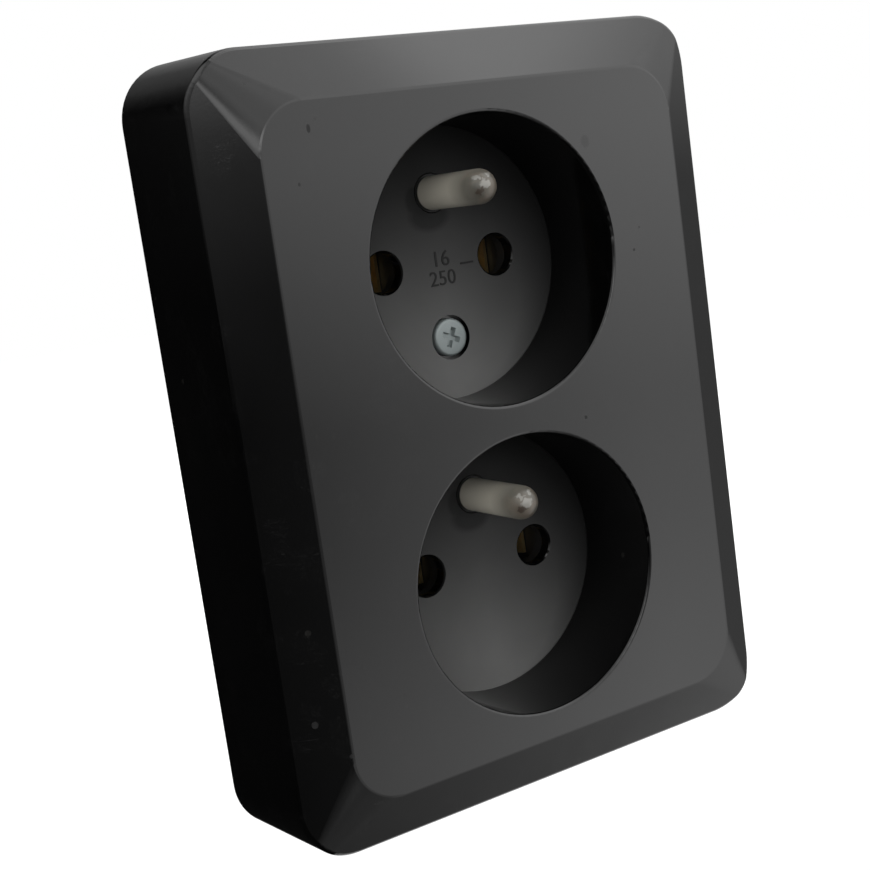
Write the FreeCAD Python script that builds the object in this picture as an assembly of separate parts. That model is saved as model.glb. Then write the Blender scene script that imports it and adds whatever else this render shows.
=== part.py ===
import FreeCAD, Part
import math
import os

from FreeCAD import Vector

# A double wall socket with earth pins, for one round wall box.
# A bevelled cover holds two round recesses, one above the other, and one screw fixes it.
# Behind it an insulating base carries the contacts, and a steel frame fixes the base over the box.
#
# Frame: X to the right and Z up as seen by the user, Y into the wall. The wall's face is Y = 0.
# The origin is midway between the two box screws, on the wall's face. All sizes are in millimetres.

# The cover plate and its bevelled face. It is as wide as the steel frame behind it needs, as high
# as the two recesses need, and as deep as a recess and the layers behind it need.
frame_side_gap = 3.0
recess_end_margin = 4.0
plate_corner_radius = 7.9
side_taper = 0.75
bevel_side_width = 7.05
bevel_end_width = 7.3
bevel_depth = 4.0
panel_corner_radius = 6.9
bevel_mitre_radius = 1.2
bevel_edge_round = 0.9
panel_edge_round = 0.8
cover_wall = 2.0
face_thickness = 2.2

# The two socket recesses
recess_radius = 19.6
recess_gap = 4.5
recess_taper = 0.25
recess_depth = 14.5
recess_rim_round = 0.45
cup_wall = 1.4
floor_thickness = 2.0
contact_hole_radius = 2.93
contact_hole_chamfer = 0.25

# Plug geometry that the socket has to suit
pin_spacing = 19.0
plug_pin_length = 19.0
earth_pin_rise = 10.0

# Stiffening ribs and stops behind the cover's face
rib_thickness = 1.2
rib_height = 8.0
web_half_width = 9.0
stop_post_radius = 2.4
stop_post_bore = 1.2
stop_post_inset = 4.5
guide_rib_gap = 1.2
frame_stop_gap = 0.3

# The screw that holds the cover
cover_screw_drop = 10.6
cover_screw_pocket_gap = 0.48
cover_screw_pocket_depth = 1.2
cover_screw_head_radius = 2.72
cover_screw_head_height = 1.3
cover_screw_radius = 1.45
cover_screw_length = 9.5
cover_screw_clearance = 0.25
cover_boss_radius = 4.2
drive_slot_width = 0.75
drive_slot_span = 3.0
drive_slot_depth = 0.9

# The threaded bush in the base that takes the cover screw
bush_radius = 2.4
bush_length = 8.6
thread_clearance = 0.05

# The insulating base
cover_gap = 0.2
flange_lip = 1.0
flange_end_wall = 1.0
flange_corner_radius = 4.0
box_screw_head_room = 5.0
ear_half_height = 4.2
ear_margin = 3.4
body_wall = 1.5
tab_wall = 1.0
base_front_wall = 2.0
base_hole_radius = 3.2
bus_to_rear = 4.0
fit_gap = 0.2
chamber_side_gap = 0.4
chamber_inner_gap = 0.65
chamber_outer_gap = 0.35

# The pockets that lighten the base, open to its front
core_wall = 1.8
core_width = 5.4
core_rear_wall = 2.6
core_corner_radius = 0.8
flange_core_width = 8.0
flange_core_height = 6.6
flange_core_depth = 3.2

# The steel mounting frame and its box screws
frame_edge = 2.0
frame_thickness = 1.0
frame_corner_radius = 3.5
frame_aperture_gap = 0.4
frame_lip_height = 2.4
frame_lip_half_length = 11.0
box_screw_spacing = 60.0
box_slot_radius = 1.9
box_slot_length = 7.0

# The rivets that join the frame to the base
rivet_offset = 3.6
rivet_radius = 1.5
rivet_hole_gap = 0.05
rivet_head_radius = 2.6
rivet_head_height = 0.8
rivet_tail_radius = 2.2
rivet_tail_height = 0.7
rivet_bore_radius = 0.8

# The live and neutral contact strips, cut and bent from brass sheet
contact_sheet = 0.6
leaf_width = 6.0
leaf_foot_offset = 2.9
grip_half_gap = 2.15
grip_length = 4.0
grip_rear_setback = 4.5
leaf_ramp = 1.6
flare_length = 3.2
flare_offset = 3.25
pad_half_width = 3.2
pad_inner_reach = 5.5
pad_outer_reach = 3.6
bus_bar_width = 4.0
tab_margin = 0.5
tab_half_height = 4.6

# The steel clip round each pair of contact leaves
spring_thickness = 0.5
spring_gap = 0.05
spring_end_gap = 0.3
spring_slit = 1.2
spring_corner_radius = 0.9

# The terminals, each a screw and a clamp plate
terminal_offset = 3.6
earth_terminal_offset = 5.6
terminal_screw_radius = 1.7
terminal_screw_head_radius = 3.1
terminal_screw_head_height = 2.0
terminal_screw_length = 7.0
terminal_slot_width = 0.9
terminal_slot_depth = 1.0
clamp_size = 8.0
clamp_thickness = 1.2
clamp_groove_radius = 0.7
clamp_groove_place = 2.9
screw_end_room = 0.8

# The earth strip and its two pins
earth_sheet = 1.0
earth_strip_width = 8.0
earth_strip_end_margin = 4.15
strip_frame_gap = 1.7
earth_leg_gap = 0.35
earth_plate_margin = 0.6
earth_pin_radius = 2.4
earth_pin_reach = 14.5
earth_pin_shoulder_radius = 2.7
earth_hole_gap = 0.15
earth_collar_radius = 3.6
earth_collar_thickness = 1.3
earth_rivet_radius = 1.8
earth_rivet_tail_radius = 2.8
earth_rivet_tail_height = 1.1

# The cap that closes the base's rear
cap_thickness = 2.2
cap_edge_round = 0.6
cap_notch_half_width = 5.2
cap_notch_gap = 0.9
cap_rib_inset = 0.6
cap_screw_inset = 8.4
cap_screw_lower_z = -4.5
cap_screw_radius = 1.3
cap_screw_length = 11.0
cap_screw_head_radius = 2.6
cap_screw_head_height = 1.5
cap_screw_sink = 0.2

# Depths that follow from the sizes above, from the front to the rear
strip_depth = cover_gap + fit_gap + earth_collar_thickness + earth_sheet
room_behind_strip = earth_rivet_tail_height + strip_frame_gap + frame_thickness
plate_depth = recess_depth + floor_thickness + strip_depth + room_behind_strip
face_y = -plate_depth
bevel_edge_y = -(plate_depth - bevel_depth)
face_back_y = face_y + face_thickness
floor_front_y = face_y + recess_depth
floor_back_y = floor_front_y + floor_thickness
base_front_y = floor_back_y + cover_gap
frame_front_y = -frame_thickness
collar_front_y = base_front_y + fit_gap
earth_strip_front_y = collar_front_y + earth_collar_thickness
earth_strip_back_y = earth_strip_front_y + earth_sheet
bus_y = floor_front_y + plug_pin_length + fit_gap
bus_back_y = bus_y + contact_sheet
base_rear_y = bus_y + bus_to_rear
cap_rear_y = base_rear_y + cap_thickness
grip_rear_y = bus_y - grip_rear_setback
grip_front_y = grip_rear_y - grip_length

# Places and lengths that follow from the sizes above, for the recesses and the contacts
socket_spacing = 2 * recess_radius + recess_gap
socket_heights = (socket_spacing / 2, -socket_spacing / 2)
cup_radius = recess_radius + cup_wall
pin_x = pin_spacing / 2
cover_screw_z = socket_spacing / 2 - cover_screw_drop
cover_screw_pocket_radius = cover_screw_head_radius + cover_screw_pocket_gap
spring_outer_x = grip_half_gap + contact_sheet + spring_gap + spring_thickness
spring_outer_z = leaf_width / 2 + spring_gap + spring_thickness
chamber_half_width = spring_outer_x + chamber_side_gap
chamber_inner_reach = spring_outer_z + chamber_inner_gap
chamber_outer_reach = spring_outer_z + chamber_outer_gap
bar_outer_x = pin_x + pad_half_width
bar_inner_x = bar_outer_x - bus_bar_width
terminal_x = bar_outer_x + terminal_offset
tab_reach = terminal_x + clamp_size / 2 + tab_margin

# The base's body just holds the contacts, and the frame goes round the body and its box screws
body_width = 2 * (tab_reach + fit_gap + tab_wall)
chamber_corner = Vector(pin_x + chamber_half_width, socket_spacing / 2 + chamber_outer_reach, 0)
body_circle_radius = chamber_corner.Length + body_wall
frame_size = max(
    box_screw_spacing + box_slot_length + 2 * frame_edge,
    2 * (body_circle_radius + frame_aperture_gap + frame_edge),
)
cap_screw_upper_z = body_circle_radius - cap_screw_inset
rivet_x = body_width / 2 + rivet_offset
rivet_z = box_screw_head_room + ear_half_height
flange_width = body_width + 2 * flange_lip
earth_strip_top = socket_spacing / 2 + earth_pin_rise + earth_strip_end_margin
earth_leg_z = -socket_spacing / 2 + earth_pin_rise - earth_rivet_tail_radius - earth_leg_gap
earth_terminal_z = earth_leg_z - earth_terminal_offset
earth_plate_end = earth_terminal_z - clamp_size / 2 - earth_plate_margin
flange_height = 2 * (earth_strip_top + flange_end_wall)

# The cover goes round the frame and the recesses
plate_width = frame_size + 2 * (frame_side_gap + cover_wall)
plate_height = socket_spacing + 2 * (recess_radius + recess_end_margin + bevel_end_width + side_taper)
edge_width = plate_width - 2 * side_taper
edge_height = plate_height - 2 * side_taper
panel_width = edge_width - 2 * bevel_side_width
panel_height = edge_height - 2 * bevel_end_width
stop_post_place = frame_size / 2 - stop_post_inset

# How far a cutting solid runs past the surface it opens
overrun = 1.0


def box(x0, x1, y0, y1, z0, z1):
    """A block between two corners."""
    return Part.makeBox(x1 - x0, y1 - y0, z1 - z0, Vector(x0, y0, z0))


def rod(x, z, radius, y0, y1):
    """A round bar along Y."""
    return Part.makeCylinder(radius, y1 - y0, Vector(x, y0, z), Vector(0, 1, 0))


def outline(width, height, radius, y, x=0.0, z=0.0):
    """A rounded rectangle as a wire, in the plane Y = y, centred on x and z."""
    half_w = width / 2
    half_h = height / 2
    corners = []
    for sign_x, sign_z, start in ((1, 1, 0), (-1, 1, 90), (-1, -1, 180), (1, -1, 270)):
        middle = Vector(x + sign_x * (half_w - radius), y, z + sign_z * (half_h - radius))
        places = []
        for turn in (0, 45, 90):
            angle = math.radians(start + turn)
            places.append(middle + Vector(radius * math.cos(angle), 0, radius * math.sin(angle)))
        corners.append(places)
    edges = []
    for place, points in enumerate(corners):
        following = corners[(place + 1) % len(corners)]
        edges.append(Part.Arc(*points).toShape())
        edges.append(Part.LineSegment(points[-1], following[0]).toShape())
    return Part.Wire(edges)


def slab(width, height, radius, y0, y1, x=0.0, z=0.0):
    """A rounded rectangle made solid from y0 to y1."""
    return Part.Face(outline(width, height, radius, y0, x, z)).extrude(Vector(0, y1 - y0, 0))


def edges_at(shape, y, tolerance=1e-4):
    """The edges that lie in the plane Y = y."""
    found = []
    for edge in shape.Edges:
        bounds = edge.BoundBox
        if abs(bounds.YMin - y) < tolerance and abs(bounds.YMax - y) < tolerance:
            found.append(edge)
    return found


def edges_between(shape, y0, y1, tolerance=1e-3):
    """The edges from the plane Y = y0 on that end before the plane Y = y1, in front of it."""
    found = []
    for edge in shape.Edges:
        bounds = edge.BoundBox
        if bounds.YMax < y0 + tolerance and bounds.YMin > y1 + tolerance:
            found.append(edge)
    return found


def circles_at(shape, y, radius):
    """The round edges of one radius that lie in the plane Y = y."""
    found = []
    for edge in edges_at(shape, y):
        if isinstance(edge.Curve, Part.Circle) and abs(edge.Curve.Radius - radius) < 1e-4:
            found.append(edge)
    return found


def turned(profile, x, z):
    """A turned piece about an axis along Y. The profile is a list of (radius, y) corners."""
    points = [Vector(radius, y, 0) for radius, y in profile]
    face = Part.Face(Part.makePolygon(points + points[:1]))
    piece = face.revolve(Vector(0, 0, 0), Vector(0, 1, 0), 360)
    piece.translate(Vector(x, 0, z))
    return piece


def fuse(first, others):
    """Joins solids into one and cleans the seams."""
    return first.fuse(others).removeSplitter()


def side_block(inset, y0, y1, taper_per_depth):
    """The plate's four drafted sides with their rounded corners, made solid from y0 to y1."""
    rings = []
    for y in (y0, y1):
        shrink = inset + taper_per_depth * -y
        rings.append(
            outline(plate_width - 2 * shrink, plate_height - 2 * shrink, plate_corner_radius - inset, y)
        )
    return Part.makeLoft(rings, True, True)


def plate_block(inset, front_y, front_edge_y):
    """The plate's outer form, or the hollow inside it when inset is the wall's thickness.

    The four bevels start nearly sharp at their outer corners, where the rounded sides cut them off,
    and end in the panel's round corners, so each pair meets in a mitre that widens inward.
    """
    taper_per_depth = side_taper / -front_edge_y
    at_edge = outline(edge_width - 2 * inset, edge_height - 2 * inset, bevel_mitre_radius, front_edge_y)
    at_front = outline(
        panel_width - 2 * inset, panel_height - 2 * inset, panel_corner_radius - inset, front_y
    )
    bevel = Part.makeLoft([at_edge, at_front], True, True)
    corners = side_block(inset, front_edge_y, front_y, taper_per_depth)
    return side_block(inset, 0, front_edge_y, taper_per_depth).fuse(bevel.common(corners))


def recess(z):
    """The round hollow that takes a plug, slightly narrower at its floor."""
    return Part.makeCone(
        recess_radius, recess_radius - recess_taper, recess_depth, Vector(0, face_y, z), Vector(0, 1, 0)
    )


def contact_hole(x, z):
    """A hole in the recess floor for one plug pin, with a small chamfer."""
    hole = rod(x, z, contact_hole_radius, floor_front_y - overrun, floor_back_y + overrun)
    mouth = Part.makeCone(
        contact_hole_radius + contact_hole_chamfer,
        contact_hole_radius,
        contact_hole_chamfer,
        Vector(x, floor_front_y, z),
        Vector(0, 1, 0),
    )
    return hole.fuse(mouth)


def cover_ribs():
    """The ribs, posts and guides on the back of the cover's face, trimmed to the inside of its wall."""
    root_y = face_back_y - face_thickness / 4
    rib_end_y = face_back_y + rib_height
    side_end = plate_width / 2
    top_end = plate_height / 2
    half = rib_thickness / 2
    pieces = [box(-web_half_width, web_half_width, root_y, floor_back_y, -half, half)]
    for sign in (1, -1):
        for z in socket_heights:
            near, far = sorted((sign * (cup_radius - cup_wall / 2), sign * side_end))
            pieces.append(box(near, far, root_y, rib_end_y, z - half, z + half))
        near, far = sorted((sign * (socket_spacing / 2 + cup_radius - cup_wall / 2), sign * top_end))
        pieces.append(box(-half, half, root_y, rib_end_y, near, far))
        guide_x = sign * (flange_width / 2 + fit_gap + half)
        pieces.append(
            box(
                guide_x - half,
                guide_x + half,
                root_y,
                frame_front_y - frame_stop_gap,
                guide_rib_gap - box_screw_head_room,
                box_screw_head_room - guide_rib_gap,
            )
        )
        for sign_z in (1, -1):
            x = sign * stop_post_place
            z = sign_z * stop_post_place
            post = rod(x, z, stop_post_radius, root_y, frame_front_y - frame_stop_gap)
            bore = rod(x, z, stop_post_bore, face_back_y, frame_front_y)
            pieces.append(post.cut(bore))
    room = plate_block(cover_wall / 2, root_y, bevel_edge_y + face_thickness / 2)
    return [piece.common(room) for piece in pieces]


def front_cover():
    """The bevelled plate with its two cups, moulded in one piece."""
    outer = plate_block(0, face_y, bevel_edge_y)
    outer = outer.removeSplitter()
    outer = outer.makeFillet(bevel_edge_round, edges_between(outer, bevel_edge_y, face_y))
    outer = outer.makeFillet(panel_edge_round, edges_at(outer, face_y))
    inner = plate_block(cover_wall, face_back_y, bevel_edge_y + face_thickness - cover_wall / 2)
    shell = outer.cut(inner)
    cups = [rod(0, z, cup_radius, face_back_y - face_thickness / 2, floor_back_y) for z in socket_heights]
    boss = rod(0, cover_screw_z, cover_boss_radius, floor_back_y - overrun, base_front_y)
    shell = fuse(shell, cups + [boss] + cover_ribs())
    cutters = [recess(z) for z in socket_heights]
    for z in socket_heights:
        cutters.append(contact_hole(pin_x, z))
        cutters.append(contact_hole(-pin_x, z))
        cutters.append(
            rod(
                0,
                z + earth_pin_rise,
                earth_pin_shoulder_radius + earth_hole_gap,
                floor_front_y - overrun,
                floor_back_y + overrun,
            )
        )
    cutters.append(
        rod(
            0,
            cover_screw_z,
            cover_screw_pocket_radius,
            floor_front_y - overrun,
            floor_front_y + cover_screw_pocket_depth,
        )
    )
    cutters.append(
        rod(0, cover_screw_z, cover_screw_radius + cover_screw_clearance, floor_front_y, base_front_y + overrun)
    )
    cover = shell.cut(cutters)
    return cover.makeFillet(recess_rim_round, circles_at(cover, face_y, recess_radius))


def driven_head(radius, height, top_y, dome):
    """A screw head whose outer face looks along -Y, with its rim rounded over by dome."""
    profile = [
        (0, top_y + height),
        (radius, top_y + height),
        (radius, top_y + dome),
        (radius - dome / 3, top_y + dome / 3),
        (radius - dome, top_y),
        (0, top_y),
    ]
    return turned(profile, 0, 0)


def cover_screw():
    """The pan-head screw in the upper recess, with a cross recess in its head."""
    top_y = floor_front_y + cover_screw_pocket_depth - cover_screw_head_height
    head = driven_head(cover_screw_head_radius, cover_screw_head_height, top_y, cover_screw_head_height / 2)
    shank_y = top_y + cover_screw_head_height
    point_y = shank_y + cover_screw_length
    shank = rod(0, 0, cover_screw_radius, shank_y, point_y)
    screw = fuse(head, [shank])
    half_span = drive_slot_span / 2
    half_slot = drive_slot_width / 2
    slot_floor_y = top_y + drive_slot_depth
    cross = box(-half_span, half_span, top_y - overrun, slot_floor_y, -half_slot, half_slot)
    cross = cross.fuse(box(-half_slot, half_slot, top_y - overrun, slot_floor_y, -half_span, half_span))
    screw = screw.cut(cross)
    screw.translate(Vector(0, 0, cover_screw_z))
    return screw


def cover_screw_bush():
    """The threaded brass bush that the cover screw turns into."""
    hole_radius = cover_screw_radius + thread_clearance
    body = rod(0, cover_screw_z, bush_radius, base_front_y, base_front_y + bush_length)
    return body.cut(
        rod(0, cover_screw_z, hole_radius, base_front_y - overrun, base_front_y + bush_length + overrun)
    )


def body_block(y0, y1, grow=0.0):
    """The part of the base that enters the wall box: a round bar with two flat sides."""
    radius = body_circle_radius + grow
    half = body_width / 2 + grow
    block = box(-half, half, y0, y1, -radius, radius)
    return block.common(rod(0, 0, radius, y0, y1))


def strip_pocket(grow, y0, y1):
    """The plan of the right-hand contact strip, made solid from y0 to y1 and grown all round."""
    pieces = [
        box(
            bar_inner_x - grow,
            bar_outer_x + grow,
            y0,
            y1,
            -socket_spacing / 2 - grow,
            socket_spacing / 2 + grow,
        ),
        box(bar_inner_x - grow, tab_reach + grow, y0, y1, -tab_half_height - grow, tab_half_height + grow),
    ]
    for z in socket_heights:
        inward = -1 if z > 0 else 1
        ends = sorted((z + inward * (pad_inner_reach + grow), z - inward * (pad_outer_reach + grow)))
        pieces.append(box(pin_x - pad_half_width - grow, bar_outer_x + grow, y0, y1, ends[0], ends[1]))
    return pieces[0].fuse(pieces[1:]).removeSplitter()


def right_hand_cutters():
    """What is cut from the base for the contact strip on the right, and for its terminal."""
    cutters = [strip_pocket(fit_gap, bus_y, base_rear_y + overrun)]
    for z in socket_heights:
        inward = -1 if z > 0 else 1
        ends = sorted((z + inward * chamber_inner_reach, z - inward * chamber_outer_reach))
        cutters.append(
            box(
                pin_x - chamber_half_width,
                pin_x + chamber_half_width,
                base_front_y + base_front_wall,
                bus_y + overrun,
                ends[0],
                ends[1],
            )
        )
        cutters.append(
            rod(pin_x, z, base_hole_radius, base_front_y - overrun, base_front_y + base_front_wall + overrun)
        )
    screw_end_y = bus_back_y + clamp_thickness - terminal_screw_length
    cutters.append(
        rod(
            terminal_x,
            0,
            terminal_screw_radius + 2 * fit_gap,
            bus_back_y + clamp_thickness - terminal_screw_length - screw_end_room,
            bus_y + overrun,
        )
    )
    cutters.append(
        box(
            terminal_x,
            body_width / 2 + overrun,
            bus_y,
            base_rear_y + overrun,
            -cap_notch_half_width,
            cap_notch_half_width,
        )
    )
    return cutters


def earth_cutters():
    """What is cut from the base for the earth strip, its pins and its terminal."""
    half = earth_strip_width / 2 + fit_gap
    back_y = earth_strip_back_y
    cutters = [
        box(
            -half,
            half,
            base_front_y - overrun,
            back_y,
            earth_leg_z - earth_sheet - fit_gap,
            earth_strip_top + fit_gap,
        ),
        box(
            -half,
            half,
            back_y - overrun,
            bus_y + overrun,
            earth_leg_z - earth_sheet - fit_gap,
            earth_leg_z + fit_gap,
        ),
        box(
            -half,
            half,
            bus_y,
            base_rear_y + overrun,
            -body_circle_radius - overrun,
            earth_leg_z + fit_gap,
        ),
    ]
    for z in socket_heights:
        cutters.append(
            rod(
                0,
                z + earth_pin_rise,
                earth_rivet_tail_radius + fit_gap,
                back_y - overrun,
                back_y + earth_rivet_tail_height + fit_gap,
            )
        )
    cutters.append(
        rod(
            0,
            earth_terminal_z,
            terminal_screw_radius + 2 * fit_gap,
            bus_y + earth_sheet + clamp_thickness - terminal_screw_length - screw_end_room,
            bus_y + overrun,
        )
    )
    return cutters


def core_cutters():
    """The blind pockets that lighten the base beside its contact chambers and in its flange."""
    cutters = []
    x = pin_x + chamber_half_width + core_wall + core_width / 2
    depth_end_y = bus_y - core_rear_wall
    corner_z = math.sqrt(body_circle_radius ** 2 - (x + core_width / 2) ** 2) - core_wall
    near_z = terminal_screw_radius + 2 * fit_gap + core_wall
    flange_x = flange_width / 2 - core_wall - flange_core_width / 2
    flange_z = flange_height / 2 - core_wall - flange_core_height / 2
    for sign_x in (1, -1):
        for sign_z in (1, -1):
            cutters.append(
                slab(
                    core_width,
                    corner_z - near_z,
                    core_corner_radius,
                    base_front_y - overrun,
                    depth_end_y,
                    x=sign_x * x,
                    z=sign_z * (corner_z + near_z) / 2,
                )
            )
            cutters.append(
                slab(
                    flange_core_width,
                    flange_core_height,
                    core_corner_radius,
                    base_front_y - overrun,
                    base_front_y + flange_core_depth,
                    x=sign_x * flange_x,
                    z=sign_z * flange_z,
                )
            )
    return cutters


def flange():
    """The front of the base, with two pairs of ears that take the frame's rivets."""
    plate = slab(flange_width, flange_height, flange_corner_radius, base_front_y, frame_front_y)
    ear_width = 2 * (rivet_x + ear_margin)
    ears = []
    for z in (rivet_z, -rivet_z):
        ears.append(
            slab(ear_width, 2 * ear_half_height, flange_corner_radius / 2, base_front_y, frame_front_y, z=z)
        )
    return fuse(plate, ears)


def rivet_places():
    """The four places where the frame is riveted to the base."""
    return [(sx * rivet_x, sz * rivet_z) for sx in (-1, 1) for sz in (1, -1)]


def socket_base():
    """The insulating base: a flange in front of the wall and a body inside the wall box."""
    base = fuse(flange(), [body_block(frame_front_y, base_rear_y)])
    cutters = right_hand_cutters()
    cutters += [cutter.mirror(Vector(0, 0, 0), Vector(1, 0, 0)) for cutter in cutters]
    cutters += earth_cutters()
    cutters += core_cutters()
    cutters.append(rod(0, cover_screw_z, bush_radius, base_front_y, base_front_y + bush_length))
    cutters.append(
        rod(
            0,
            cover_screw_z,
            cover_screw_radius + cover_screw_clearance,
            base_front_y,
            floor_front_y + cover_screw_pocket_depth + cover_screw_length + screw_end_room,
        )
    )
    for z in (cap_screw_upper_z, cap_screw_lower_z):
        cutters.append(
            rod(
                0,
                z,
                cap_screw_radius + thread_clearance,
                cap_rear_y - cap_screw_length - screw_end_room,
                base_rear_y + overrun,
            )
        )
    for x, z in rivet_places():
        cutters.append(rod(x, z, rivet_radius + rivet_hole_gap, base_front_y - overrun, 0))
        cutters.append(
            rod(
                x,
                z,
                rivet_head_radius + fit_gap,
                base_front_y - overrun,
                base_front_y + fit_gap + rivet_head_height,
            )
        )
    return base.cut(cutters)


def mounting_frame():
    """The steel frame that bridges the wall box, with a slot for each box screw."""
    plate = slab(frame_size, frame_size, frame_corner_radius, frame_front_y, 0)
    lips = []
    for sign in (1, -1):
        near, far = sorted((sign * (frame_size / 2 - frame_thickness), sign * frame_size / 2))
        lips.append(
            box(
                near,
                far,
                frame_front_y - frame_lip_height,
                0,
                -frame_lip_half_length,
                frame_lip_half_length,
            )
        )
    plate = fuse(plate, lips)
    cutters = [body_block(frame_front_y - overrun, overrun, frame_aperture_gap)]
    for sign in (1, -1):
        cutters.append(
            slab(
                box_slot_length,
                2 * box_slot_radius,
                box_slot_radius * 0.9999,
                frame_front_y - overrun,
                overrun,
                x=sign * box_screw_spacing / 2,
            )
        )
    for x, z in rivet_places():
        cutters.append(rod(x, z, rivet_radius + rivet_hole_gap, frame_front_y - overrun, overrun))
    return plate.cut(cutters)


def frame_rivet(x, z):
    """A tubular rivet through one ear of the base and the frame."""
    head_y = base_front_y + fit_gap
    profile = [
        (rivet_bore_radius, head_y),
        (rivet_head_radius, head_y),
        (rivet_head_radius, head_y + rivet_head_height),
        (rivet_radius, head_y + rivet_head_height),
        (rivet_radius, 0),
        (rivet_tail_radius, 0),
        (rivet_tail_radius, rivet_tail_height / 2),
        (rivet_radius, rivet_tail_height),
        (rivet_bore_radius, rivet_tail_height),
    ]
    return turned(profile, x, z)


def bent_sheet(points, thickness, width, z):
    """A sheet that follows points in the XY plane, centred on z, with square ends."""
    left = []
    right = []
    for place, point in enumerate(points):
        before = points[max(place - 1, 0)]
        after = points[min(place + 1, len(points) - 1)]
        normals = []
        for start, end in ((before, point), (point, after)):
            along = Vector(end[0] - start[0], end[1] - start[1], 0)
            if along.Length > 0:
                along.normalize()
                normals.append(Vector(-along.y, along.x, 0))
        mitre = normals[0] + normals[-1]
        mitre.normalize()
        mitre = mitre * (thickness / 2 / mitre.dot(normals[0]))
        centre = Vector(point[0], point[1], z - width / 2)
        left.append(centre + mitre)
        right.append(centre - mitre)
    loop = left + right[::-1]
    face = Part.Face(Part.makePolygon(loop + loop[:1]))
    return face.extrude(Vector(0, 0, width))


def contact_leaves(z):
    """The two leaves that grip one plug pin, on the right-hand strip."""
    half = contact_sheet / 2
    leaves = []
    for side in (1, -1):
        points = [
            (pin_x + side * leaf_foot_offset, bus_y + half),
            (pin_x + side * leaf_foot_offset, grip_rear_y + leaf_ramp),
            (pin_x + side * (grip_half_gap + half), grip_rear_y),
            (pin_x + side * (grip_half_gap + half), grip_front_y),
            (pin_x + side * flare_offset, grip_front_y - flare_length),
        ]
        leaves.append(bent_sheet(points, contact_sheet, leaf_width, z))
    return leaves


def contact_strip():
    """The right-hand strip: two pads with leaves, the bar between them and the terminal tab."""
    strip = strip_pocket(0, bus_y, bus_back_y)
    leaves = []
    for z in socket_heights:
        leaves += contact_leaves(z)
    strip = fuse(strip, leaves)
    hole = rod(terminal_x, 0, terminal_screw_radius + thread_clearance, bus_y - overrun, bus_back_y + overrun)
    return strip.cut(hole)


def contact_spring(z):
    """The open steel band round one pair of leaves, on the right-hand strip."""
    inner_width = 2 * (grip_half_gap + contact_sheet + spring_gap)
    inner_height = leaf_width + 2 * spring_gap
    y0 = grip_front_y + spring_end_gap
    y1 = grip_rear_y - spring_end_gap
    band = slab(
        inner_width + 2 * spring_thickness,
        inner_height + 2 * spring_thickness,
        spring_corner_radius,
        y0,
        y1,
        x=pin_x,
        z=z,
    )
    inside = box(
        pin_x - inner_width / 2,
        pin_x + inner_width / 2,
        y0 - overrun,
        y1 + overrun,
        z - inner_height / 2,
        z + inner_height / 2,
    )
    slit = box(
        pin_x - spring_slit / 2, pin_x + spring_slit / 2, y0 - overrun, y1 + overrun, z, z + inner_height
    )
    return band.cut([inside, slit])


def terminal_screw(seat_y):
    """A slotted screw at the origin's axis, its head on a clamp plate whose rear face is seat_y."""
    top_y = seat_y + terminal_screw_head_height
    head = rod(0, 0, terminal_screw_head_radius, seat_y, top_y)
    head = head.makeFillet(terminal_screw_head_height / 4, circles_at(head, top_y, terminal_screw_head_radius))
    shank = rod(0, 0, terminal_screw_radius, seat_y - terminal_screw_length, seat_y)
    screw = fuse(head, [shank])
    slot = box(
        -terminal_screw_head_radius,
        terminal_screw_head_radius,
        top_y - terminal_slot_depth,
        top_y + overrun,
        -terminal_slot_width / 2,
        terminal_slot_width / 2,
    )
    return screw.cut(slot)


def clamp_plate(front_y, along_x):
    """A square plate under a terminal screw, with a groove on each side of it to hold a wire."""
    half = clamp_size / 2
    plate = box(-half, half, front_y, front_y + clamp_thickness, -half, half)
    hole = rod(0, 0, terminal_screw_radius + fit_gap, front_y - overrun, front_y + clamp_thickness + overrun)
    grooves = []
    for side in (1, -1):
        place = side * clamp_groove_place
        if along_x:
            start = Vector(-half - overrun, front_y, place)
            direction = Vector(1, 0, 0)
        else:
            start = Vector(place, front_y, -half - overrun)
            direction = Vector(0, 0, 1)
        grooves.append(Part.makeCylinder(clamp_groove_radius, clamp_size + 2 * overrun, start, direction))
    return plate.cut([hole] + grooves)


def earth_strip():
    """The strip that joins both earth pins to the earth terminal, cut and bent from brass sheet."""
    half = earth_strip_width / 2
    front = box(
        -half, half, earth_strip_front_y, earth_strip_back_y, earth_leg_z - earth_sheet, earth_strip_top
    )
    leg = box(-half, half, earth_strip_front_y, bus_y + earth_sheet, earth_leg_z - earth_sheet, earth_leg_z)
    plate = box(-half, half, bus_y, bus_y + earth_sheet, earth_plate_end, earth_leg_z)
    strip = fuse(front, [leg, plate])
    holes = [
        rod(0, cover_screw_z, bush_radius + fit_gap, earth_strip_front_y - overrun, earth_strip_back_y + overrun),
        rod(
            0,
            earth_terminal_z,
            terminal_screw_radius + thread_clearance,
            bus_y - overrun,
            bus_y + earth_sheet + overrun,
        ),
    ]
    for z in socket_heights:
        holes.append(
            rod(
                0,
                z + earth_pin_rise,
                earth_rivet_radius,
                earth_strip_front_y - overrun,
                earth_strip_back_y + overrun,
            )
        )
    return strip.cut(holes)


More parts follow.
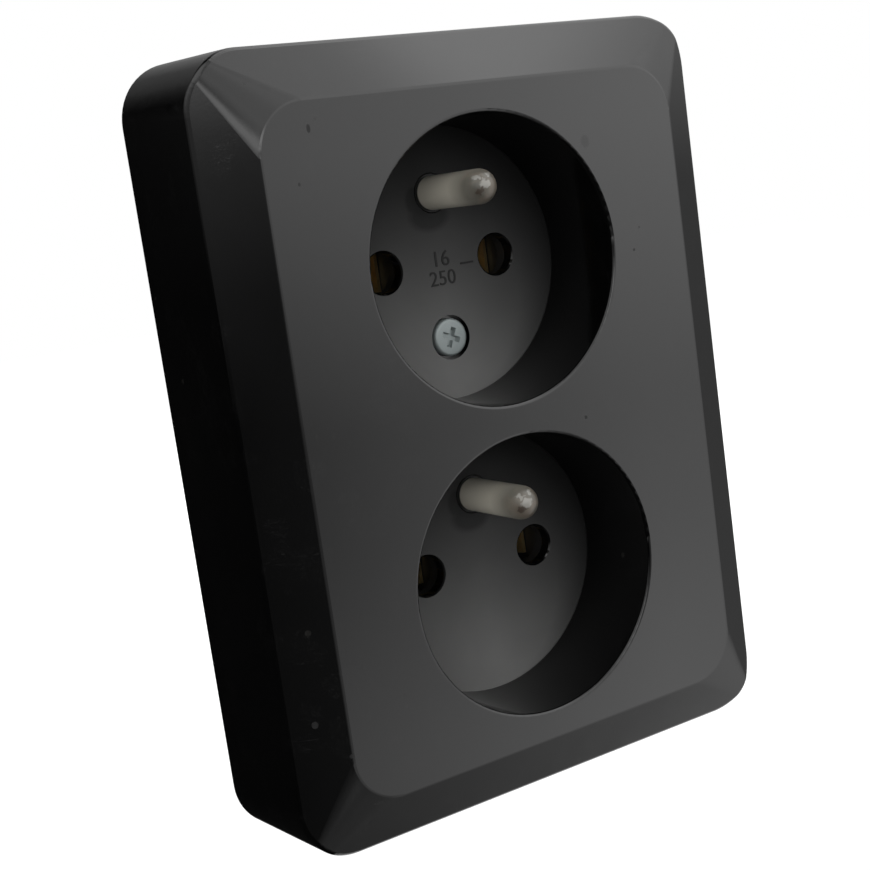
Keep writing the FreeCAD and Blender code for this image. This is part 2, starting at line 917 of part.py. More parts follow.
def earth_pin(z):
    """An earth pin with a round nose, a shoulder in the cover's floor and a riveted tail."""
    tip_y = floor_front_y - earth_pin_reach
    nose_y = tip_y + earth_pin_radius
    tail_y = earth_strip_back_y + earth_rivet_tail_height
    nose = [
        Part.Arc(
            Vector(0, tip_y, 0),
            Vector(
                earth_pin_radius * math.sin(math.pi / 4),
                nose_y - earth_pin_radius * math.cos(math.pi / 4),
                0,
            ),
            Vector(earth_pin_radius, nose_y, 0),
        ).toShape()
    ]
    corners = [
        Vector(earth_pin_radius, nose_y, 0),
        Vector(earth_pin_radius, floor_front_y, 0),
        Vector(earth_pin_shoulder_radius, floor_front_y, 0),
        Vector(earth_pin_shoulder_radius, collar_front_y, 0),
        Vector(earth_collar_radius, collar_front_y, 0),
        Vector(earth_collar_radius, earth_strip_front_y, 0),
        Vector(earth_rivet_radius, earth_strip_front_y, 0),
        Vector(earth_rivet_radius, earth_strip_back_y, 0),
        Vector(earth_rivet_tail_radius, earth_strip_back_y, 0),
        Vector(earth_rivet_radius, tail_y, 0),
        Vector(0, tail_y, 0),
        Vector(0, tip_y, 0),
    ]
    sides = [Part.LineSegment(a, b).toShape() for a, b in zip(corners, corners[1:])]
    face = Part.Face(Part.Wire(nose + sides))
    pin = face.revolve(Vector(0, 0, 0), Vector(0, 1, 0), 360)
    pin.translate(Vector(0, 0, z + earth_pin_rise))
    return pin


def cap_notch_cutters():
    """The three notches in the cap that leave the terminals open to the rear and the side."""
    y0 = bus_y
    y1 = cap_rear_y + overrun
    side_inner_x = terminal_x - terminal_screw_head_radius - cap_notch_gap
    bottom_inner_z = earth_terminal_z + terminal_screw_head_radius + cap_notch_gap
    half = cap_notch_half_width
    cutters = []
    for sign in (1, -1):
        near, far = sorted((sign * side_inner_x, sign * (body_width / 2 + overrun)))
        cutters.append(box(near, far, y0, y1, -half, half))
    earth_half = earth_strip_width / 2 + fit_gap
    cutters.append(box(-earth_half, earth_half, y0, y1, -body_circle_radius - overrun, bottom_inner_z))
    return cutters


def rear_cap():
    """The cap screwed to the rear of the base, with ribs that hold the contact strips down."""
    plate = body_block(base_rear_y, cap_rear_y)
    plate = plate.makeFillet(cap_edge_round, edges_at(plate, cap_rear_y))
    ribs = []
    for sign in (1, -1):
        for z in socket_heights:
            inward = -1 if z > 0 else 1
            ends = sorted(
                (z + inward * (pad_inner_reach - cap_rib_inset), z - inward * (pad_outer_reach - cap_rib_inset))
            )
            xs = sorted(
                (sign * (pin_x - pad_half_width + cap_rib_inset), sign * (bar_outer_x - cap_rib_inset))
            )
            ribs.append(box(xs[0], xs[1], bus_back_y, base_rear_y + overrun, ends[0], ends[1]))
    cap = fuse(plate, ribs)
    cutters = cap_notch_cutters()
    for z in (cap_screw_upper_z, cap_screw_lower_z):
        head_seat_y = cap_rear_y - cap_screw_sink - cap_screw_head_height
        cutters.append(rod(0, z, cap_screw_radius + fit_gap, base_rear_y - overrun, cap_rear_y + overrun))
        cutters.append(
            Part.makeCone(
                cap_screw_radius + fit_gap,
                cap_screw_head_radius + fit_gap,
                cap_screw_head_height,
                Vector(0, head_seat_y, z),
                Vector(0, 1, 0),
            )
        )
        cutters.append(
            rod(0, z, cap_screw_head_radius + fit_gap, cap_rear_y - cap_screw_sink, cap_rear_y + overrun)
        )
    return cap.cut(cutters)


def cap_screw(z):
    """A countersunk screw that holds the rear cap."""
    top_y = cap_rear_y - cap_screw_sink
    seat_y = top_y - cap_screw_head_height
    point_y = cap_rear_y - cap_screw_length
    profile = [
        (0, top_y),
        (cap_screw_head_radius, top_y),
        (cap_screw_radius, seat_y),
        (cap_screw_radius, point_y + cap_screw_radius),
        (0, point_y),
    ]
    screw = turned(profile, 0, 0)
    half_span = drive_slot_span / 2
    half_slot = drive_slot_width / 2
    slot_floor_y = top_y - drive_slot_depth
    cross = box(-half_span, half_span, slot_floor_y, top_y + overrun, -half_slot, half_slot)
    cross = cross.fuse(box(-half_slot, half_slot, slot_floor_y, top_y + overrun, -half_span, half_span))
    screw = screw.cut(cross)
    screw.translate(Vector(0, 0, z))
    return screw


def placed(piece, x, z):
    """A copy of a piece that was made on the origin's axis, moved to its own axis."""
    moved = piece.copy()
    moved.translate(Vector(x, 0, z))
    return moved


def mirrored(piece):
    """The same piece on the other side of the middle plane."""
    return piece.mirror(Vector(0, 0, 0), Vector(1, 0, 0))


def make_parts():
    """Every sub-part, by name."""
    upper_z, lower_z = socket_heights
    parts = {
        "front_cover": front_cover(),
        "cover_screw": cover_screw(),
        "cover_screw_bush": cover_screw_bush(),
        "socket_base": socket_base(),
        "mounting_frame": mounting_frame(),
        "neutral_contact_strip": contact_strip(),
        "earth_strip": earth_strip(),
        "upper_earth_pin": earth_pin(upper_z),
        "lower_earth_pin": earth_pin(lower_z),
        "rear_cap": rear_cap(),
        "upper_cap_screw": cap_screw(cap_screw_upper_z),
        "lower_cap_screw": cap_screw(cap_screw_lower_z),
    }
    parts["live_contact_strip"] = mirrored(parts["neutral_contact_strip"])
    for height, z in (("upper", upper_z), ("lower", lower_z)):
        spring = contact_spring(z)
        parts[f"{height}_neutral_contact_spring"] = spring
        parts[f"{height}_live_contact_spring"] = mirrored(spring)
    line_seat_y = bus_back_y + clamp_thickness
    earth_seat_y = bus_y + earth_sheet + clamp_thickness
    line_screw = terminal_screw(line_seat_y)
    line_clamp = clamp_plate(bus_back_y, along_x=True)
    for name, x in (("live", -terminal_x), ("neutral", terminal_x)):
        parts[f"{name}_terminal_screw"] = placed(line_screw, x, 0)
        parts[f"{name}_clamp_plate"] = placed(line_clamp, x, 0)
    parts["earth_terminal_screw"] = placed(terminal_screw(earth_seat_y), 0, earth_terminal_z)
    parts["earth_clamp_plate"] = placed(
        clamp_plate(bus_y + earth_sheet, along_x=False), 0, earth_terminal_z
    )
    places = dict(zip(("upper_left", "lower_left", "upper_right", "lower_right"), rivet_places()))
    for name, (x, z) in places.items():
        parts[f"{name}_frame_rivet"] = frame_rivet(x, z)
    return parts


def main():
    """Writes one STEP file for each sub-part."""
    os.makedirs("parts", exist_ok=True)
    for name, shape in make_parts().items():
        solids = shape.Solids
        print(f"{name}: {len(solids)} solid, {sum(s.Volume for s in solids) / 1000:.2f} cm3, {shape.isValid()}")
        shape.exportStep(f"parts/{name}.step")


main()
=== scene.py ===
"""The looks of a double wall socket with earth pins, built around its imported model.

The cover, the base, the earth pins and the sheet-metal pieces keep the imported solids' form and get
their finishes here. The six screws, with their threads and drives, and the numbers and the dash in
the upper well are modelled here. All lengths are in metres unless a name ends in _mm.
"""

import logging
import math
from dataclasses import dataclass, field
from enum import Enum
from typing import Callable

import bmesh
import bpy
from mathutils import Matrix, Vector


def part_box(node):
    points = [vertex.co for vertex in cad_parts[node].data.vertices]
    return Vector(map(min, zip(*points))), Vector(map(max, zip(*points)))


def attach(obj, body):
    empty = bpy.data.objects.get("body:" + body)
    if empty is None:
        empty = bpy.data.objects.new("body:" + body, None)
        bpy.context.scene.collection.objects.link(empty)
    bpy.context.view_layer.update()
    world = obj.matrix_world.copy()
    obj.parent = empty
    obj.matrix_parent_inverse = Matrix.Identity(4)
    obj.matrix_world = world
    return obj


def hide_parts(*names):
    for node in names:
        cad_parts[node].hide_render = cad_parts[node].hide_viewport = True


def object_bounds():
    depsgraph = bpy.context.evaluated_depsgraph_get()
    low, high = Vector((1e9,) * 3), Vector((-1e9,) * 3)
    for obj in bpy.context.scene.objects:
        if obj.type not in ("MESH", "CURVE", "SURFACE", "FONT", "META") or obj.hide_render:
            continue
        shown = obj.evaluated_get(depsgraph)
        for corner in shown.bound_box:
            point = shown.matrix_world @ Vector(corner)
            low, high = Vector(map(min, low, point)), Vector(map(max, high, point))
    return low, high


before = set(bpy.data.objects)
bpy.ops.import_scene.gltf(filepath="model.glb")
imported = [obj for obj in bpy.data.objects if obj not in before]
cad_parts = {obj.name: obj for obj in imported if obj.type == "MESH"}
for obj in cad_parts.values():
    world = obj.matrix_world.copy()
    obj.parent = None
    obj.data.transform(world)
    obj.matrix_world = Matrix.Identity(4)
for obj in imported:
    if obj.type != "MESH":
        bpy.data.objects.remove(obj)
CAD_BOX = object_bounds()

LOG = logging.getLogger("double_wall_socket")
MM = 0.001
BODY = "root"

UPPER_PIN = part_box("upper_earth_pin")
LOWER_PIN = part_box("lower_earth_pin")
WELL_RISE = (UPPER_PIN[0].z - LOWER_PIN[0].z) / 2
WELL_RADIUS_MM = 19.7
WELL_DEPTH_MM = 14.5
WELL_FLOOR = CAD_BOX[0].y + WELL_DEPTH_MM * MM
WELL_FRONT_REACH_MM = 0.2
WELL_BACK_REACH_MM = 0.05

Node = bpy.types.Node
Socket = bpy.types.NodeSocket
Value = float | Socket
Colour = tuple[float, float, float]
Range = tuple[float, float]


class Drive(Enum):
    """How a screw is turned."""

    CROSS = "cross"
    CROSS_AND_SLOT = "cross_and_slot"


class Slot(Enum):
    """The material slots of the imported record."""

    COVER = "cover_black"
    BASE = "base_grey"
    CAP = "cap_grey"
    FRAME = "galvanised_steel"
    SCREW = "zinc_screw"
    RIVET = "rivet_steel"
    SPRING = "spring_steel"
    CONTACT = "contact_brass"
    PIN = "pin_nickel"


MIX_SHARE = 0
MIX_VALUE_A = 2
MIX_VALUE_B = 3
MIX_VALUE_OUT = 0
MIX_COLOUR_A = 6
MIX_COLOUR_B = 7
MIX_COLOUR_OUT = 2


class Graph:
    """A small helper that adds and links nodes in one node tree."""

    def __init__(self, tree: bpy.types.NodeTree) -> None:
        """Starts with an empty tree of a material, a world or a node group."""
        self.tree = tree
        tree.nodes.clear()

    def add(self, kind: str, inputs: dict[str | int, object] | None = None, **settings: object) -> Node:
        """Adds a node.

        Args:
            kind: the node's type name.
            inputs: for each input's name or number, a plain value or a socket to link from.
            settings: the node's own properties.

        Returns:
            The new node.
        """
        node = self.tree.nodes.new(kind)
        for name, value in settings.items():
            setattr(node, name, value)
        for key, value in (inputs or {}).items():
            if isinstance(value, Socket):
                self.tree.links.new(value, node.inputs[key])
            else:
                node.inputs[key].default_value = value
        return node

    def math(self, operation: str, first: Value, second: Value = 0.0, clamp: bool = False) -> Socket:
        """Adds a Math node and gives its output."""
        node = self.add("ShaderNodeMath", {0: first, 1: second}, operation=operation, use_clamp=clamp)
        return node.outputs[0]

    def remap(self, value: Value, low: float, high: float, to_low: float, to_high: float) -> Socket:
        """Adds a clamped Map Range node and gives its output."""
        inputs = {"Value": value, "From Min": low, "From Max": high, "To Min": to_low, "To Max": to_high}
        return self.add("ShaderNodeMapRange", inputs, clamp=True).outputs["Result"]

    def mix(self, share: Value, first: object, second: object) -> Socket:
        """Adds a colour Mix node and gives its output."""
        inputs = {MIX_SHARE: share, MIX_COLOUR_A: first, MIX_COLOUR_B: second}
        return self.add("ShaderNodeMix", inputs, data_type="RGBA").outputs[MIX_COLOUR_OUT]

    def blend(self, share: Value, first: Value, second: Value) -> Socket:
        """Adds a Mix node for plain values and gives its output."""
        inputs = {MIX_SHARE: share, MIX_VALUE_A: first, MIX_VALUE_B: second}
        return self.add("ShaderNodeMix", inputs, data_type="FLOAT").outputs[MIX_VALUE_OUT]

    def vector(self, operation: str, inputs: dict[str | int, object], output: str = "Vector") -> Socket:
        """Adds a Vector Math node and gives its output."""
        return self.add("ShaderNodeVectorMath", inputs, operation=operation).outputs[output]

    def split(self, place: Socket) -> tuple[Socket, Socket, Socket]:
        """Gives the three coordinates of a place."""
        parts = self.add("ShaderNodeSeparateXYZ", {"Vector": place}).outputs
        return parts["X"], parts["Y"], parts["Z"]


def rgba(red: float, green: float, blue: float) -> tuple[float, float, float, float]:
    """An opaque colour in linear values."""
    return (red, green, blue, 1.0)


@dataclass(frozen=True)
class Effect:
    """An effect that materials share: a node group with one output, filled by a function.

    An input has its default value, or None where it takes a vector.
    """

    name: str
    inputs: dict[str, float | None]
    output: str
    fill: Callable[[Graph, Node], Socket]

    def make(self) -> bpy.types.NodeTree:
        """Makes the effect's node group.

        Returns:
            The node group.
        """
        group = bpy.data.node_groups.new(self.name, "ShaderNodeTree")
        for key, value in self.inputs.items():
            kind = "NodeSocketVector" if value is None else "NodeSocketFloat"
            socket = group.interface.new_socket(name=key, in_out="INPUT", socket_type=kind)
            if value is not None:
                socket.default_value = value
        group.interface.new_socket(name=self.output, in_out="OUTPUT", socket_type="NodeSocketFloat")
        graph = Graph(group)
        result = self.fill(graph, graph.add("NodeGroupInput"))
        graph.add("NodeGroupOutput", {0: result})
        return group


def fill_grain(graph: Graph, entry: Node) -> Socket:
    """Fine moulded texture: two octaves of soft noise.

    Args:
        graph: the group's graph.
        entry: the group's input node.

    Returns:
        The socket for the group's output.
    """
    vector, scale, amount = (entry.outputs[key] for key in ("Vector", "Scale", "Amount"))
    inputs = {"Vector": vector, "Scale": scale, "Detail": 2.0, "Roughness": 0.6}
    fine = graph.add("ShaderNodeTexNoise", inputs)
    return graph.math("MULTIPLY", fine.outputs["Fac"], amount)


def fill_cloud(graph: Graph, entry: Node) -> Socket:
    """Wide, soft patches from 0 to 1.

    Args:
        graph: the group's graph.
        entry: the group's input node.

    Returns:
        The socket for the group's output.
    """
    vector, scale, contrast = (entry.outputs[key] for key in ("Vector", "Scale", "Contrast"))
    inputs = {"Vector": vector, "Scale": scale, "Detail": 3.0, "Roughness": 0.55, "Distortion": 0.6}
    wide = graph.add("ShaderNodeTexNoise", inputs)
    centred = graph.math("SUBTRACT", wide.outputs["Fac"], 0.5)
    stretched = graph.math("MULTIPLY", centred, contrast)
    return graph.math("ADD", stretched, 0.5, clamp=True)


def fill_specks(graph: Graph, entry: Node) -> Socket:
    """Scattered round specks of dust: the cells of a Voronoi pattern whose random value is low.

    Args:
        graph: the group's graph.
        entry: the group's input node.

    Returns:
        The socket for the group's output.
    """
    vector, scale, share, size = (entry.outputs[key] for key in ("Vector", "Scale", "Share", "Size"))
    cells = graph.add("ShaderNodeTexVoronoi", {"Vector": vector, "Scale": scale, "Randomness": 1.0})
    parts = graph.add("ShaderNodeSeparateColor", {"Color": cells.outputs["Color"]})
    chosen = graph.math("LESS_THAN", parts.outputs[0], share)
    radius = graph.math("MULTIPLY", parts.outputs[1], size)
    inside = graph.math("LESS_THAN", cells.outputs["Distance"], radius)
    return graph.math("MULTIPLY", chosen, inside)


SCRATCH_LEAN = (0.3, 0.5, 0.2)
SCRATCH_STRETCH = 7.0
SCRATCH_PATCH_SCALE = 160.0
SCRATCH_PATCH_LEVEL = 0.58


def fill_scratches(graph: Graph, entry: Node) -> Socket:
    """Short fine scratches: thin ridges of a stretched noise, kept only in patches.

    Args:
        graph: the group's graph.
        entry: the group's input node.

    Returns:
        The socket for the group's output.
    """
    vector, scale, width = (entry.outputs[key] for key in ("Vector", "Scale", "Width"))
    turned = {"Vector": vector, "Rotation": SCRATCH_LEAN, "Scale": (1, 1, SCRATCH_STRETCH)}
    stretched = graph.add("ShaderNodeMapping", turned).outputs[0]
    inputs = {"Vector": stretched, "Scale": scale, "Detail": 1.0, "Distortion": 0.4}
    lines = graph.add("ShaderNodeTexNoise", inputs)
    centred = graph.math("ABSOLUTE", graph.math("SUBTRACT", lines.outputs["Fac"], 0.5))
    thin = graph.math("LESS_THAN", centred, width)
    patches = graph.add("ShaderNodeTexNoise", {"Vector": vector, "Scale": SCRATCH_PATCH_SCALE, "Detail": 1.0})
    kept = graph.math("GREATER_THAN", patches.outputs["Fac"], SCRATCH_PATCH_LEVEL)
    return graph.math("MULTIPLY", thin, kept)


def fill_spangle(graph: Graph, entry: Node) -> Socket:
    """The crystal pattern of galvanised steel: one value for each cell.

    Args:
        graph: the group's graph.
        entry: the group's input node.

    Returns:
        The socket for the group's output.
    """
    inputs = {"Vector": entry.outputs["Vector"], "Scale": entry.outputs["Scale"]}
    cells = graph.add("ShaderNodeTexVoronoi", inputs)
    return graph.add("ShaderNodeSeparateColor", {"Color": cells.outputs["Color"]}).outputs[0]


LINE_STRETCH = 0.06


def fill_brushing(graph: Graph, entry: Node) -> Socket:
    """Fine lines along one direction, as rolled or drawn metal has.

    Args:
        graph: the group's graph.
        entry: the group's input node.

    Returns:
        The socket for the group's output.
    """
    inputs = {"Vector": entry.outputs["Vector"], "Scale": (1, 1, LINE_STRETCH)}
    stretched = graph.add("ShaderNodeMapping", inputs).outputs[0]
    inputs = {"Vector": stretched, "Scale": entry.outputs["Scale"], "Detail": 2.0}
    lines = graph.add("ShaderNodeTexNoise", inputs)
    return lines.outputs["Fac"]


SPOT_SOLID_TO = 0.75
SPOT_FADED_AT = 1.15


def fill_spot(graph: Graph, entry: Node) -> Socket:
    """One soft-edged spot: 1 inside an ellipsoid of the given centre and half widths, and 0 outside.

    Args:
        graph: the group's graph.
        entry: the group's input node.

    Returns:
        The socket for the group's output.
    """
    away = graph.vector("SUBTRACT", {0: entry.outputs["Vector"], 1: entry.outputs["Centre"]})
    scaled = graph.vector("DIVIDE", {0: away, 1: entry.outputs["Half widths"]})
    reach = graph.vector("LENGTH", {0: scaled}, "Value")
    return graph.remap(reach, SPOT_SOLID_TO, SPOT_FADED_AT, 1.0, 0.0)


def fill_well(graph: Graph, entry: Node) -> Socket:
    """1 on the floors of two round wells, one at the given height above the middle and one as far below.

    Args:
        graph: the group's graph.
        entry: the group's input node.

    Returns:
        The socket for the group's output.
    """
    vector, rise, radius = (entry.outputs[key] for key in ("Vector", "Rise", "Radius"))
    across, depth, level = graph.split(vector)
    height = graph.math("SUBTRACT", graph.math("ABSOLUTE", level), rise)
    flat = graph.add("ShaderNodeCombineXYZ", {"X": across, "Y": height}).outputs[0]
    inside = graph.math("LESS_THAN", graph.vector("LENGTH", {0: flat}, "Value"), radius)
    past_front = graph.math("GREATER_THAN", depth, entry.outputs["Front"])
    before_back = graph.math("LESS_THAN", depth, entry.outputs["Back"])
    return graph.math("MULTIPLY", inside, graph.math("MULTIPLY", past_front, before_back))


def fill_panel(graph: Graph, entry: Node) -> Socket:
    """A soft-edged rectangle on the studio's surround, placed by its azimuth and height in degrees.

    Args:
        graph: the group's graph.
        entry: the group's input node.

    Returns:
        The socket for the group's output.
    """
    azimuth, elevation, soft = (entry.outputs[key] for key in ("Azimuth", "Elevation", "Softness"))
    mask = None
    for angle, middle, half in (
        (azimuth, "Middle azimuth", "Half width"),
        (elevation, "Middle elevation", "Half height"),
    ):
        apart = graph.math("SUBTRACT", angle, entry.outputs[middle])
        half_turns = {0: apart, 1: 180.0, 2: -180.0}
        wrapped = graph.add("ShaderNodeMath", half_turns, operation="WRAP").outputs[0]
        away = graph.math("ABSOLUTE", wrapped)
        past = graph.math("DIVIDE", graph.math("SUBTRACT", away, entry.outputs[half]), soft)
        share = graph.math("SUBTRACT", 0.5, past, clamp=True)
        mask = share if mask is None else graph.math("MULTIPLY", mask, share)
    return mask


EFFECTS = {
    "grain": Effect("moulded_grain", {"Vector": None, "Scale": 900.0, "Amount": 1.0}, "Height", fill_grain),
    "cloud": Effect("soft_patches", {"Vector": None, "Scale": 30.0, "Contrast": 2.0}, "Mask", fill_cloud),
    "specks": Effect(
        "dust_specks", {"Vector": None, "Scale": 200.0, "Share": 0.05, "Size": 0.2}, "Mask", fill_specks
    ),
    "scratches": Effect(
        "fine_scratches", {"Vector": None, "Scale": 600.0, "Width": 0.01}, "Mask", fill_scratches
    ),
    "spangle": Effect("zinc_spangle", {"Vector": None, "Scale": 300.0}, "Mask", fill_spangle),
    "brushing": Effect("rolled_lines", {"Vector": None, "Scale": 2500.0}, "Height", fill_brushing),
    "spot": Effect("single_spot", {"Vector": None, "Centre": None, "Half widths": None}, "Mask", fill_spot),
    "well": Effect(
        "round_wells",
        {"Vector": None, "Rise": 0.02, "Radius": 0.02, "Front": 0.0, "Back": 0.0},
        "Mask",
        fill_well,
    ),
    "panel": Effect(
        "surround_panel",
        {
            "Azimuth": 0.0,
            "Elevation": 0.0,
            "Middle azimuth": 0.0,
            "Middle elevation": 0.0,
            "Half width": 10.0,
            "Half height": 10.0,
            "Softness": 5.0,
        },
        "Mask",
        fill_panel,
    ),
}

GROUPS = {key: effect.make() for key, effect in EFFECTS.items()}


def place_group(graph: Graph, name: str, inputs: dict[str, object]) -> Socket:
    """Puts one shared effect in a material and gives its output."""
    return graph.add("ShaderNodeGroup", inputs, node_tree=GROUPS[name]).outputs[0]


class Finish:
    """A finish that builds its material once."""

    name: str
    slot: Slot

    def material(self) -> bpy.types.Material:
        """Makes the finish's material on the first call, and finds it again later.

        Returns:
            The material.
        """
        found = bpy.data.materials.get(self.name)
        if found is not None:
            return found
        made = bpy.data.materials.new(self.name)
        made.use_nodes = True
        graph = Graph(made.node_tree)
        place = graph.add("ShaderNodeTexCoord").outputs["Object"]
        shader = graph.add("ShaderNodeBsdfPrincipled")
        graph.add("ShaderNodeOutputMaterial", {"Surface": shader.outputs[0]})
        self.dress(graph, place, shader)
        return made

    def dress(self, graph: Graph, place: Socket, shader: Node) -> None:
        """Fills the material. Each kind of finish has its own."""
        raise NotImplementedError

    def apply(self, piece: bpy.types.Object) -> None:
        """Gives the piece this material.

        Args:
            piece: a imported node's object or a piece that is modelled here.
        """
        piece.data.materials.clear()
        piece.data.materials.append(self.material())


def above_middle(graph: Graph, place: Socket) -> Socket:
    """Measures each place from the middle of the well it lies in, the upper or the lower one.

    Args:
        graph: the material's graph.
        place: the place on the part.

    Returns:
        The height above that well's middle.
    """
    height = graph.split(place)[2]
    in_upper = graph.math("GREATER_THAN", height, 0.0)
    middle = graph.math("SUBTRACT", graph.math("MULTIPLY", in_upper, 2 * WELL_RISE), WELL_RISE)
    return graph.math("SUBTRACT", height, middle)


SPOT_DEPTH_MM = 12.0


@dataclass(frozen=True)
class Spot:
    """One round or oval spot, placed as seen from the front: a speck or a smudge, a brown spot, a painted
    highlight, or painted light or shade on a well's floor.
    """

    x_mm: float
    z_mm: float
    half_x_mm: float
    half_z_mm: float
    strength: float

    def mask(self, graph: Graph, place: Socket) -> Socket:
        """Marks the places that the spot covers.

        Args:
            graph: the material's graph.
            place: the place on the part, or in its well.

        Returns:
            The spot's share there, from 0 to its strength.
        """
        inputs = {
            "Vector": place,
            "Centre": (self.x_mm * MM, CAD_BOX[0].y, self.z_mm * MM),
            "Half widths": (self.half_x_mm * MM, SPOT_DEPTH_MM * MM, self.half_z_mm * MM),
        }
        return graph.math("MULTIPLY", place_group(graph, "spot", inputs), self.strength)


DUST_COLOUR = (0.16, 0.155, 0.145)
SCRATCH_COLOUR = (0.09, 0.09, 0.09)
SCRATCH_SHARE = 0.12
PLASTIC_IOR = 1.5
COAT_ROUGHNESS = 0.12


@dataclass(frozen=True)
class MouldedPlastic(Finish):
    """A moulded insulating plastic with a fine grain, soft patches and a little dust."""

    name: str
    slot: Slot
    colour: Colour
    haze_colour: Colour
    roughness: float
    grain_depth: float = 0.00001
    grain_scale: float = 2600.0
    grain_strength: float = 0.5
    dust_share: float = 0.03
    dust_strength: float = 0.35
    dust_scale: float = 420.0
    dust_size: float = 0.22
    scratch_scale: float = 700.0
    scratch_width: float = 0.006
    patch_scale: float = 26.0
    patch_contrast: float = 2.2
    patch_roughness: Range = (-0.02, 0.03)
    fine_patch_scale: float = 140.0
    fine_patch_contrast: float = 1.6
    fine_patch_roughness: Range = (-0.015, 0.02)

    def dress(self, graph: Graph, place: Socket, shader: Node) -> None:
        """Puts grain in the height, patches in colour and roughness, and specks and scratches on top.

        Args:
            graph: the material's graph.
            place: the place on the part.
            shader: the material's shader.
        """
        links = graph.tree.links
        inputs = {"Vector": place, "Scale": self.patch_scale, "Contrast": self.patch_contrast}
        cloud = place_group(graph, "cloud", inputs)
        inputs = {"Vector": place, "Scale": self.fine_patch_scale, "Contrast": self.fine_patch_contrast}
        fine_cloud = place_group(graph, "cloud", inputs)
        inputs = {"Vector": place, "Scale": self.dust_scale, "Share": self.dust_share, "Size": self.dust_size}
        lighter_share = place_group(graph, "specks", inputs)
        inputs = {"Vector": place, "Scale": self.scratch_scale, "Width": self.scratch_width}
        scratches = place_group(graph, "scratches", inputs)
        base = graph.mix(cloud, rgba(*self.colour), rgba(*self.haze_colour))
        lightened = graph.mix(graph.math("MULTIPLY", lighter_share, self.dust_strength), base, rgba(*DUST_COLOUR))
        scratched = graph.math("MULTIPLY", scratches, SCRATCH_SHARE)
        colour = graph.mix(scratched, lightened, rgba(*SCRATCH_COLOUR))
        low, high = self.patch_roughness
        wide = graph.remap(cloud, 0.0, 1.0, self.roughness + low, self.roughness + high)
        uneven = graph.math("ADD", wide, graph.remap(fine_cloud, 0.0, 1.0, *self.fine_patch_roughness))
        rough = graph.math("ADD", uneven, scratched, clamp=True)
        colour, rough = self.mark(graph, place, colour, rough)
        links.new(colour, shader.inputs["Base Color"])
        links.new(rough, shader.inputs["Roughness"])
        inputs = {"Vector": place, "Scale": self.grain_scale, "Amount": 1.0}
        grain = place_group(graph, "grain", inputs)
        inputs = {"Strength": self.grain_strength, "Distance": self.grain_depth, "Height": grain}
        bump = graph.add("ShaderNodeBump", inputs)
        links.new(bump.outputs[0], shader.inputs["Normal"])
        shader.inputs["IOR"].default_value = PLASTIC_IOR

    def mark(self, graph: Graph, place: Socket, colour: Socket, rough: Socket) -> tuple[Socket, Socket]:
        """Adds what only one plastic piece has. The plain one has nothing more."""
        return colour, rough


